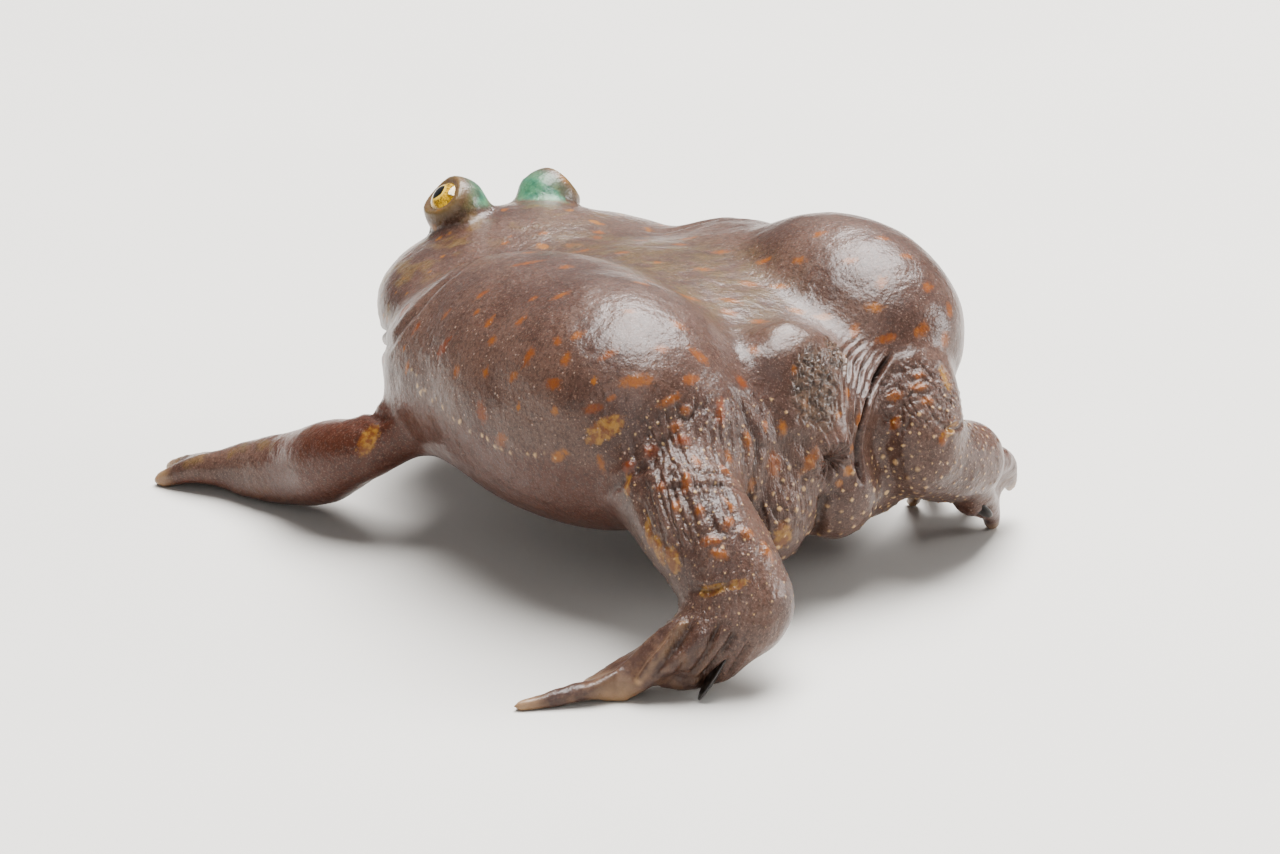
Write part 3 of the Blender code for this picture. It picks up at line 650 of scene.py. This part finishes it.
not_cushion = limit(1 - 1.6 * cushion)
not_vent = limit((flat_gap - 2.4) / 1.5) + (1 - by_vent)
patchy = np.clip(2.4 * speckle(here, 3.6, 33) - 0.5, 0.12, 1)
lobes = within((3, 31.5, 14), (11, 6, 8)) + within((-10, 30, 14), (7, 6, 6))
legs = within((22, 40, 15), (11, 11, 12)) + within((20, 31, 26), (10, 8, 8))
heel = within((-19, 31, 16), (12, 9, 10))
wart_draw = np.random.default_rng(11)
for region, spacing, seed, small, large, pale in (
    (legs * patchy * 0.5, 1.1, 21, 0.17, 0.3, 0.75),
    (heel * 0.6, 1.05, 22, 0.2, 0.36, 0.85),
    (lobes * not_vent, 1.5, 23, 0.28, 0.5, 0.95),
    (beside * not_cushion * not_vent * patchy * 0.5, 1.3, 24, 0.18, 0.32, 0.7),
):
    for index in scatter(limit(region), spacing, seed):
        size = small + (large - small) * wart_draw.random() ** 1.6
        raise_wart(here[index], size, size * 0.42, pale * wart_draw.uniform(0.45, 1.0))

FLANK_ROW = [(32.8, -12.1, 26.8), (33.1, -10.2, 26.2), (33.3, -8.4, 25.2), (33.5, -5.4, 24.9),
             (33.7, -3.3, 24.7), (34, 0.3, 24), (33.9, 3, 23.6), (33.8, 5.1, 23.6),
             (33.5, 7.6, 23.3), (33.1, 10, 22.3), (32.6, 12.8, 22.9), (32, 15.7, 23.5),
             (30.7, 19.3, 23.6)]


def walk(line, step, draw):
    """Places along a line of points, about `step` mm apart."""
    line = np.array(line, dtype=float)
    lengths = lengths_of(np.diff(line, axis=0))
    starts = np.concatenate(([0.0], np.cumsum(lengths)))
    reach = 0.0
    while reach < starts[-1]:
        index = min(int(np.searchsorted(starts, reach, side="right")) - 1, len(lengths) - 1)
        share = (reach - starts[index]) / lengths[index]
        yield line[index] * (1 - share) + line[index + 1] * share
        reach += step * draw.uniform(0.6, 1.45)


row_draw = np.random.default_rng(5)
for side in (1, -1):
    for place in walk([(side * x, y, z) for x, y, z in FLANK_ROW], 1.25, row_draw):
        nearest = points.find(place + row_draw.normal(0, 0.22, 3))[0]
        size = row_draw.uniform(0.26, 0.44)
        raise_wart(nearest, size, 0.12, row_draw.uniform(0.3, 0.8))

raised = limit(legs + beside + knee + heel) * not_vent
rise += 0.2 * raised * limit(1.6 * blotch - 0.5)
put_places(hide, here + out * rise[:, None])

# The lids and the sockets
# Each eye stands under a dome of skin that opens to the side. The dome is solid here: inside the
# opening the hide is pressed in behind the eyeball, and its edge is a low lid.
LID_DOME = 4.4
LID_REACH = (3.25 / LID_DOME, 2.85 / LID_DOME)
# The hide's radius in mm from the middle of the oval opening, over its edge at 1, out to the dome
LID_PROFILE_AT = (0, 0.84, 0.93, 1, 1.1, 1.22, 1.4)
LID_PROFILE = (3, 3, 3.4, 4.05, 4.38, 4.36, 4.3)
here = places_of(hide)
green = np.zeros(len(here))
lid_edge = np.zeros(len(here))
for name, aim in EYE_AIMS.items():
    aim = np.array(aim) / np.linalg.norm(aim)
    upright = np.array((0.0, 0.0, 1.0)) - aim * aim[2]
    upright /= np.linalg.norm(upright)
    sideways = np.cross(upright, aim)
    spoke = here - EYE_PLACES[name]
    radius = lengths_of(spoke)
    spoke /= radius[:, None]
    opening = np.hypot(spoke @ sideways / LID_REACH[0], spoke @ upright / LID_REACH[1])
    opening = np.where(spoke @ aim > 0, opening, 9.0)
    target = np.interp(opening, LID_PROFILE_AT, LID_PROFILE)
    hold = limit((1.9 - opening) / 0.5) * limit((5.6 - radius) / 0.6)
    here += spoke * ((target - radius) * hold)[:, None]
    above = here[:, 2] - EYE_PLACES[name][2] + 0.9 * (speckle(here, 1.2, 70) - 0.5)
    dome = limit((5.5 - radius) / 0.5) * limit((above - 0.4) / 1.4)
    green = np.maximum(green, dome * limit((opening - 1.25) / 0.4))
    lid_edge = np.maximum(lid_edge, hold * bell(opening - 1.12, 0.16))
put_places(hide, here)

# The colour areas
# The belly is red-brown, the back yellowish, and the webs and toe tips are pale. Where the photo shows
# nothing, the material strews blotches of the same sizes over the upper skin.
x, y, z = here.T
up_share = out[:, 2]
unseen = limit((-4 - (out @ SEEN_FROM) * 12 - x * 0.15) / 4)
unseen = np.maximum(unseen, limit((-17 - y) / 4))
strewn = unseen * limit((up_share + 0.35) / 0.3) * limit((z - 17) / 5)
strewn *= limit((26 - y) / 3) * (1 - limit(green * 4))

height_edge = 23.4 + 2.0 * (speckle(here, 6.0, 12) - 0.5)
belly = limit((height_edge - z) / 3.0 + 0.5)
belly *= limit((31.0 - np.abs(y + 3)) / 6 + (np.abs(x) > 24))
belly *= limit((30.0 - y) / 5.0)
under = limit(-up_share * 2.0)
belly = np.maximum(belly, under * limit((24 - y) / 4))
back = within((0, -2, 38), (15, 34, 10), 0.6)
web = limit(1 - (z - 6.0) / 4) * limit((x - 26.0) / 3)
web *= y > 0
right_toes = within((-38, 13, 4), (9, 15, 9)) + within((-38, 22, 8), (4, 6, 6))
web = limit(np.maximum(web, right_toes))
dots = within((30, 6, 27), (10, 30, 11), 0.5) + within((-30, 6, 27), (10, 30, 11), 0.5)
dots += within((20, 36, 20), (14, 16, 16), 0.4) + within((-22, 28, 18), (16, 14, 14), 0.4)
dots = limit(dots + 0.4 * (y > -20)) * (1 - 0.75 * limit(belly * 1.2))
slack = limit(thigh + beside + knee + shank * 0.6 + foot)
tips = np.zeros(len(here))
TOE_TIPS = [(35.9, 39.6, 1), (37.3, 38.6, 1.1), (47.2, 35.1, 0.95), (38.6, 35.2, 1),
            (-35.7, 21.5, 0.9), (-39.4, 20.6, 5.2), (-38.3, 13.5, 1), (-37.3, 4, 0.9),
            (-32, 9.5, 1)]
for side in (1, -1):
    TOE_TIPS += [(side * 31.2, -52.6, 1.0), (side * 37, -58.2, 1.0)]
    TOE_TIPS += [(side * 42.0, -58.4, 1.0), (side * 45.8, -54.6, 1.15)]
for tip in TOE_TIPS:
    tips = np.maximum(tips, limit(1.1 - lengths_of(here - tip) / 3.0))
gap, along = line_gap(here, FIRST_TOE)
tips = np.maximum(tips, limit(1.4 - gap / 0.5) * (0.55 + 0.45 * along))

# Painted shade: the deeper a fold or crease sinks, the darker the hide is painted there, less so at the
# vent.
hollow = limit(-rise / 0.5 - 0.15) * (1 - 0.6 * (flat_gap < 3.2) * by_vent)
face = 0.5 * limit((-24 - y) / 6)
AMOUNTS = dict(
    blotch=blotch, warmth=warmth, strewn=strewn, ochre=ochre, cream=cream, face=face, belly=belly,
    back=back, web=web, dots=dots, tips=tips, green=green, lid=lid_edge, slack=slack, crumple=cushion,
    hollow=hollow,
)
for name, amounts in AMOUNTS.items():
    layer = hide.data.attributes.new(name, "FLOAT", "POINT")
    layer.data.foreach_set("value", amounts.astype(np.float32))
select_only(hide)
bpy.ops.object.shade_smooth()

# The hide's material: living amphibian skin
# A thin film of slime over brown, finely peppered skin. It gives a broad sheen on the puffed sides
# and small glints on every wart and wrinkle. Light goes a little way in, most at the thin webs.


def linear(hex_colour):
    """An sRGB hex colour as linear red, green, blue and alpha."""
    parts = [int(hex_colour[i:i + 2], 16) / 255 for i in (1, 3, 5)]
    return [p / 12.92 if p <= 0.04045 else ((p + 0.055) / 1.055) ** 2.4 for p in parts] + [1.0]


def add_node(tree, kind, settings=None, **links):
    """Adds a shader node, called by its type without the word ShaderNode, sets its fields, and fills
    its sockets with values or other nodes' outputs. A node stands for its first output. A socket is
    named with _ for a space, or by its number as in s0."""
    node = tree.nodes.new("ShaderNode" + kind)
    for key, value in (settings or {}).items():
        setattr(node, key, value)
    for key, value in links.items():
        numbered = key[0] == "s" and key[1:].isdigit()
        socket = node.inputs[int(key[1:])] if numbered else node.inputs[key.replace("_", " ")]
        if isinstance(value, bpy.types.Node):
            value = value.outputs[0]
        if isinstance(value, bpy.types.NodeSocket):
            tree.links.new(value, socket)
        else:
            socket.default_value = value
    return node


def new_material(name):
    material = bpy.data.materials.new(name)
    material.use_nodes = True
    material.node_tree.nodes.clear()
    return material, material.node_tree


TIMES, PLUS, LESS = ({"operation": kind} for kind in ("MULTIPLY", "ADD", "SUBTRACT"))
TIMES_PLUS = {"operation": "MULTIPLY_ADD"}
SOFT_STEP = {"interpolation_type": "SMOOTHSTEP"}
COLOURS = {"data_type": "RGBA"}

skin, tree = new_material("wet_frog_skin")
object_place = add_node(tree, "TexCoord").outputs["Object"]
amount = {
    name: add_node(tree, "Attribute", {"attribute_name": name}).outputs["Fac"] for name in AMOUNTS
}

# Noises, called by the size of their grains in mm, with their detail and roughness. Most of them also
# make patches, with the values at which a patch starts and is full.
grain = {}
patches = {}
for size, detail, rough, *ends in (
    (9.0, 3.0, 0.55, 0.35, 0.65), (4.0, 3.0, 0.55, 0.5, 0.62), (2.4, 3.0, 0.55, 0.3, 0.7),
    (1.6, 3.0, 0.55, 0.35, 0.7), (1.4, 3.0, 0.55, 0.3, 0.7), (1.3, 2.0, 0.55),
    (0.9, 3.0, 0.55, 0.4, 0.62), (0.7, 4.0, 0.7), (0.5, 4.0, 0.7, 0.44, 0.64),
    (0.24, 2.0, 0.6, 0.54, 0.68),
):
    grain[size] = add_node(
        tree, "TexNoise", Vector=object_place, Scale=1 / (size * MM), Detail=detail, Roughness=rough
    )
    if ends:
        patches[size] = add_node(
            tree, "MapRange", SOFT_STEP, Value=grain[size], From_Min=ends[0], From_Max=ends[1]
        )
back_patches = add_node(tree, "Math", TIMES, s0=amount["back"], s1=patches[2.4])
face_patches = add_node(tree, "Math", TIMES, s0=amount["face"], s1=patches[4.0])

# The marks' edges are ragged: how much, and the amounts at which each starts and is full
ragged = add_node(tree, "Math", TIMES_PLUS, s0=grain[0.7], s1=1.2, s2=-0.6)
marks = {}
for name, raggedness, low, high in (
    ("blotch", 1.0, 0.3, 0.8), ("ochre", 0.6, 0.38, 0.62), ("cream", 0.25, 0.15, 0.75),
):
    edge = add_node(tree, "Math", TIMES_PLUS, s0=ragged, s1=raggedness, s2=amount[name])
    edge = add_node(tree, "MapRange", SOFT_STEP, Value=edge, From_Min=low, From_Max=high)
    inside = add_node(tree, "MapRange", SOFT_STEP, Value=amount[name], From_Min=0.05, From_Max=0.3)
    marks[name] = add_node(tree, "Math", TIMES, s0=edge, s1=inside)
warmth_here = add_node(tree, "Math", TIMES_PLUS, s0=grain[0.5], s1=1.2, s2=amount["warmth"])
warmth_here = add_node(tree, "MapRange", Value=warmth_here, From_Min=0.6, From_Max=1.6)

# The strewn blotches are cells about 3.6 mm apart, pulled out of round along the body
sway = add_node(tree, "TexNoise", Vector=object_place, Scale=1 / (1.8 * MM))
swayed = add_node(
    tree, "VectorMath", TIMES_PLUS,
    s0=sway.outputs["Color"], s1=(2.0 * MM, 3.2 * MM, 2.0 * MM), s2=object_place,
)
cells = add_node(tree, "TexVoronoi", Vector=swayed, Scale=1 / (3.6 * MM))
draw = add_node(tree, "SeparateColor", s0=cells.outputs["Color"])
reach = add_node(tree, "Math", TIMES_PLUS, s0=draw.outputs[0], s1=-0.28, s2=cells.outputs["Distance"])
strewn_spots = add_node(tree, "MapRange", SOFT_STEP, Value=reach, From_Min=0.1, From_Max=-0.04)
strewn_spots = add_node(tree, "Math", TIMES, s0=strewn_spots, s1=amount["strewn"])
strewn_warmth = add_node(
    tree, "Math", {"operation": "ADD", "use_clamp": True}, s0=draw.outputs[1], s1=amount["face"]
)

# Small pale dots: how far apart in mm, their size as a share of that, and how many cells stay empty
dot_share = 0.0
for spacing, size, empty in ((1.4, 0.16, 0.3), (0.75, 0.22, 0.4)):
    cells = add_node(tree, "TexVoronoi", Vector=object_place, Scale=1 / (spacing * MM))
    draw = add_node(tree, "SeparateColor", s0=cells.outputs["Color"])
    spots = add_node(
        tree, "MapRange", SOFT_STEP,
        Value=cells.outputs["Distance"], From_Min=size, From_Max=size * 0.35,
    )
    filled = add_node(
        tree, "MapRange", SOFT_STEP,
        Value=draw.outputs[1], From_Min=empty, From_Max=empty + 0.25,
    )
    spots = add_node(tree, "Math", TIMES, s0=spots, s1=filled)
    dot_share = add_node(tree, "Math", {"operation": "MAXIMUM"}, s0=dot_share, s1=spots)
dot_share = add_node(tree, "Math", TIMES, s0=dot_share, s1=amount["dots"])

# Colours that change from one tone to another, and then all colours in the order they are laid on.
# The last is near-black painted shade, laid in the hollows of the folds and creases.
tones = {}
for name, share, one, two in (
    ("brown", patches[9.0], "#48322a", "#5b443a"), ("rust", warmth_here, "#682d0c", "#8f5a1e"),
    ("strewn", strewn_warmth, "#682d0c", "#8a5a22"), ("web", patches[1.6], "#43302a", "#68503f"),
    ("crumple", patches[0.9], "#30271e", "#6a5646"), ("green", patches[1.4], "#376550", "#558464"),
    ("ochre", patches[0.9], "#74451a", "#9c7430"),
):
    tones[name] = add_node(tree, "Mix", COLOURS, s0=share, s6=linear(one), s7=linear(two)).outputs[2]
colour = tones["brown"]
for share, most, over in (
    (back_patches, 1.0, linear("#5a4628")), (face_patches, 1.2, linear("#6a5430")),
    (amount["belly"], 0.9, linear("#4a2210")), (patches[0.5], 0.5, linear("#2a1b14")),
    (patches[0.24], 0.4, linear("#7e675b")), (marks["blotch"], 0.8, tones["rust"]),
    (strewn_spots, 0.8, tones["strewn"]), (marks["ochre"], 0.65, tones["ochre"]),
    (dot_share, 0.8, linear("#977c6c")), (marks["cream"], 0.85, linear("#bc9c70")),
    (amount["web"], 0.7, tones["web"]), (amount["tips"], 0.75, linear("#a08262")),
    (amount["crumple"], 0.6, tones["crumple"]), (amount["green"], 1.0, tones["green"]),
    (amount["lid"], 0.7, linear("#6a5632")), (amount["hollow"], 0.5, linear("#1c0f09")),
):
    share = add_node(tree, "Math", TIMES, s0=share, s1=most)
    colour = add_node(tree, "Mix", COLOURS, s0=share, s6=colour, s7=over).outputs[2]

# Slack skin has fine wrinkles 0.75 mm apart, and all of it soft ripples and a fine grain
along_body = add_node(
    tree, "Mapping", Vector=object_place, Rotation=(0.6, 0.0, 0.3), Scale=(1.0, 1.0, 0.16)
)
wrinkle = add_node(
    tree, "TexNoise", Vector=along_body, Scale=1 / (0.75 * MM), Detail=3.0, Roughness=0.6
)
wrinkle = add_node(tree, "Math", LESS, s0=wrinkle, s1=0.5)
wrinkle = add_node(tree, "Math", {"operation": "ABSOLUTE"}, s0=wrinkle)
wrinkle = add_node(tree, "MapRange", Value=wrinkle, From_Min=0.0, From_Max=0.2, To_Min=1.0, To_Max=0.0)
wrinkle = add_node(tree, "Math", TIMES, s0=wrinkle, s1=amount["slack"])
ripple = add_node(tree, "Math", TIMES_PLUS, s0=grain[2.4], s1=1.4, s2=grain[1.3])
ripples = add_node(tree, "Bump", Strength=1.0, Distance=0.13 * MM, Height=ripple)
height = 0.0
for pattern, rise_share in ((grain[0.5], 0.5), (grain[0.24], 0.25), (dot_share, 0.7), (wrinkle, -0.9)):
    height = add_node(tree, "Math", TIMES_PLUS, s0=pattern, s1=rise_share, s2=height)
fine_grain = add_node(tree, "Bump", Strength=0.9, Distance=0.08 * MM, Height=height, Normal=ripples)
shader = add_node(
    tree, "BsdfPrincipled",
    Base_Color=colour, Normal=fine_grain, Coat_Normal=fine_grain, IOR=1.4,
    Roughness=add_node(tree, "Math", TIMES_PLUS, s0=grain[2.4], s1=0.25, s2=0.3),
    Subsurface_Weight=0.10, Subsurface_Radius=(1.0, 0.35, 0.2), Subsurface_Scale=1.2 * MM,
    Coat_Weight=0.5, Coat_Roughness=0.13, Coat_IOR=1.35,
)
add_node(tree, "OutputMaterial", Surface=shader)
hide.data.materials.clear()
hide.data.materials.append(skin)
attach(hide, "root")
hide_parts(*FLESH)

# The eyes
# A round eyeball in each socket, with a gold iris netted in dark brown and an upright rounded pupil.
# The tear film makes it a mirror, so its finish is the smoothest on the frog.
EYE_RADIUS = 3.5
CORNEA_START, CORNEA_RISE = 0.72, 0.22
PUPIL_HALVES = (0.95, 1.15)
for name, aim in EYE_AIMS.items():
    centre = Vector(EYE_PLACES[name])
    aim = Vector(aim).normalized()
    eyeball = ball(name + "ball", centre, (EYE_RADIUS,) * 3, 64)
    turn = aim.to_track_quat("Z", "Y")
    middle_of_eye = ZERO + centre * MM
    for vert in eyeball.data.vertices:
        spoke = (vert.co - middle_of_eye) / MM
        forward = spoke.normalized().dot(aim)
        bulge = max(0.0, (forward - CORNEA_START) / (1 - CORNEA_START))
        vert.co = middle_of_eye + (spoke + aim * CORNEA_RISE * bulge ** 0.8) * MM
    bpy.ops.object.shade_smooth()
    iris_material, tree = new_material(name + "_wet_iris")
    object_place = add_node(tree, "TexCoord").outputs["Object"]
    moved = add_node(tree, "VectorMath", LESS, s0=object_place, s1=middle_of_eye)
    turned = add_node(
        tree, "VectorRotate", {"rotation_type": "EULER_XYZ", "invert": True},
        Vector=moved, Rotation=turn.to_euler("XYZ"),
    )
    flat = add_node(tree, "VectorMath", TIMES, s0=turned, s1=(1 / MM, 1 / MM, 0.0))
    radius = add_node(tree, "VectorMath", {"operation": "LENGTH"}, s0=flat).outputs["Value"]
    round_way = add_node(tree, "VectorMath", {"operation": "NORMALIZE"}, s0=flat)
    outwards = add_node(tree, "Math", TIMES, s0=radius, s1=0.25)
    rays = add_node(
        tree, "TexNoise", {"noise_dimensions": "4D"},
        Vector=round_way, W=outwards, Scale=6.0, Detail=5.0, Roughness=0.7,
    )
    net = add_node(
        tree, "TexNoise", Vector=object_place, Scale=1 / (0.5 * MM), Detail=4.0, Roughness=0.7
    )
    # The pupil is a rounded diamond, given by half its width and height in mm
    pupil = 0.0
    sides = add_node(tree, "SeparateXYZ", s0=flat)
    for side, half in zip(sides.outputs, PUPIL_HALVES):
        share = add_node(tree, "Math", {"operation": "DIVIDE"}, s0=side, s1=half)
        share = add_node(tree, "Math", {"operation": "ABSOLUTE"}, s0=share)
        share = add_node(tree, "Math", {"operation": "POWER"}, s0=share, s1=1.5)
        pupil = add_node(tree, "Math", PLUS, s0=share, s1=pupil)
    colour = linear("#7a5a12")
    for source, low, high, most, over in (
        (rays, 0.35, 0.65, 1.0, "#d0a83a"), (net, 0.5, 0.62, 0.75, "#2e1f10"),
        (radius, 2.5, 2.95, 1.0, "#3a2a1a"), (radius, 1.42, 1.15, 0.6, "#e3c25c"),
        (pupil, 1.08, 0.92, 1.0, "#050404"),
    ):
        share = add_node(
            tree, "MapRange", SOFT_STEP, Value=source, From_Min=low, From_Max=high, To_Max=most
        )
        colour = add_node(tree, "Mix", COLOURS, s0=share, s6=colour, s7=linear(over)).outputs[2]
    shader = add_node(
        tree, "BsdfPrincipled",
        Base_Color=colour, Roughness=0.12, IOR=1.38, Coat_Weight=1.0, Coat_Roughness=0.02,
    )
    add_node(tree, "OutputMaterial", Surface=shader)
    eyeball.data.materials.append(iris_material)
    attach(eyeball, "root")
    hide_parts(name)

# The digging spades
# On the inner edge of each sole stands a blade of black horn, curved like a fingernail. Horn is
# smooth and dense, with a faint browner clouding where it has grown unevenly.
SPADE_TAPER, SPADE_CURVE = 0.35, 0.25
# The blade's middle, half its thickness, width and length, its lengthwise way, and its edge's way
SPADES = {
    "left_spade": ((26.3, 45.3, 3.75), (0.6, 1.8, 3.9), (0.59, -0.06, -0.80), (0.54, 0.77, 0.34)),
    "right_spade": ((-29.0, 27.1, 6.4), (0.6, 1.7, 2.2), (-0.62, -0.35, -0.70), (0.2, 0.9, 0.2)),
}
horn, tree = new_material("black_horn")
object_place = add_node(tree, "TexCoord").outputs["Object"]
lines = add_node(tree, "TexNoise", Vector=object_place, Scale=1 / (0.5 * MM), Detail=3.0, Roughness=0.6)
share = add_node(tree, "MapRange", SOFT_STEP, Value=lines, From_Min=0.4, From_Max=0.7)
colour = add_node(tree, "Mix", COLOURS, s0=share, s6=linear("#0d0b0a"), s7=linear("#2a221d")).outputs[2]
bump = add_node(tree, "Bump", Strength=0.5, Distance=0.03 * MM, Height=lines)
shader = add_node(
    tree, "BsdfPrincipled",
    Base_Color=colour, Roughness=0.3, Normal=bump, IOR=1.54, Coat_Weight=0.4, Coat_Roughness=0.1,
)
add_node(tree, "OutputMaterial", Surface=shader)
for name, (centre, radii, along, outward) in SPADES.items():
    blade = ball(name.replace("spade", "blade"), (0, 0, 0), radii, 48)
    along = Vector(along).normalized()
    outward = (Vector(outward) - along * along.dot(Vector(outward))).normalized()
    thin = outward.cross(along)
    for vert in blade.data.vertices:
        spot = (vert.co - ZERO) / MM
        share = spot.y / radii[1]
        spot.x = spot.x * (1.0 - SPADE_TAPER * max(0.0, share)) + SPADE_CURVE * share * share
        vert.co = ZERO + (Vector(centre) + thin * spot.x + outward * spot.y + along * spot.z) * MM
    select_only(blade)
    bpy.ops.object.mode_set(mode="EDIT")
    bpy.ops.mesh.select_all(action="SELECT")
    bpy.ops.mesh.normals_make_consistent(inside=False)
    bpy.ops.object.mode_set(mode="OBJECT")
    bpy.ops.object.shade_smooth()
    blade.data.materials.append(horn)
    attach(blade, "root")
    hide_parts(name)

# The floor
# A plain pale studio floor, matt like painted board, with its edge out of sight. It isn't part of the
# frog.
FLOOR_WIDTH = 8.0
bpy.ops.object.select_all(action="DESELECT")
bpy.ops.mesh.primitive_plane_add(size=FLOOR_WIDTH, location=(0, 0, 0))
floor = bpy.context.object
floor.name = "floor"
floor_paint, tree = new_material("pale_matt_paint")
object_place = add_node(tree, "TexCoord").outputs["Object"]
wide = add_node(tree, "TexNoise", Vector=object_place, Scale=1 / (60.0 * MM))
shade = add_node(tree, "Mix", COLOURS, s0=wide, s6=linear("#c9c6c1"), s7=linear("#cfccc7")).outputs[2]
shader = add_node(tree, "BsdfPrincipled", Base_Color=shade, Roughness=0.75)
add_node(tree, "OutputMaterial", Surface=shader)
floor.data.materials.append(floor_paint)

# The light
# One large soft box hangs over the frog's right side, as in the photo, with a weak fill behind the
# camera and an even pale room.
LIT_PLACE = Vector((0, 0, 20))
ROOM_STRENGTH = 0.35
world = bpy.data.worlds.new("room")
bpy.context.scene.world = world
world.use_nodes = True
room = world.node_tree.nodes["Background"]
room.inputs["Color"].default_value = linear("#e6e8ea")
room.inputs["Strength"].default_value = ROOM_STRENGTH


def soft_box(name, place, size, power):
    lamp = bpy.data.lights.new(name, "AREA")
    lamp.shape = "RECTANGLE"
    lamp.size, lamp.size_y = size[0] * MM, size[1] * MM
    lamp.energy = power
    stand = bpy.data.objects.new(name, lamp)
    bpy.context.scene.collection.objects.link(stand)
    stand.location = ZERO + Vector(place) * MM
    stand.rotation_euler = (Vector(place) - LIT_PLACE).to_track_quat("Z", "Y").to_euler()


soft_box("overhead", (-250, -140, 1190), (800, 1460), 54.0)
soft_box("fill", (1500, 1700, 900), (1600, 1600), 16.0)
soft_box("rim", (-1300, 800, 420), (700, 500), 14.0)
bpy.context.scene.view_settings.look = "AgX - Medium High Contrast"

# The camera
# Behind the frog's left side, 20 degrees above the floor and half a metre away, as in the photo. The
# lens gives the photo's framing.
CAMERA_PLACE = (285.5, 400.0, 194.3)
CAMERA_YAW = math.radians(35.0)
CAMERA_RISE = math.radians(20.0)
LENS, SENSOR_WIDTH = 114.075, 36.0
back_way = Vector((math.sin(CAMERA_YAW), math.cos(CAMERA_YAW), math.tan(CAMERA_RISE)))
lens = bpy.data.cameras.new("camera")
lens.lens = LENS
lens.sensor_width = SENSOR_WIDTH
lens.clip_start, lens.clip_end = 0.01, 20.0
camera = bpy.data.objects.new("camera", lens)
bpy.context.scene.collection.objects.link(camera)
camera.location = ZERO + Vector(CAMERA_PLACE) * MM
camera.rotation_euler = back_way.to_track_quat("Z", "Y").to_euler()
bpy.context.scene.camera = camera
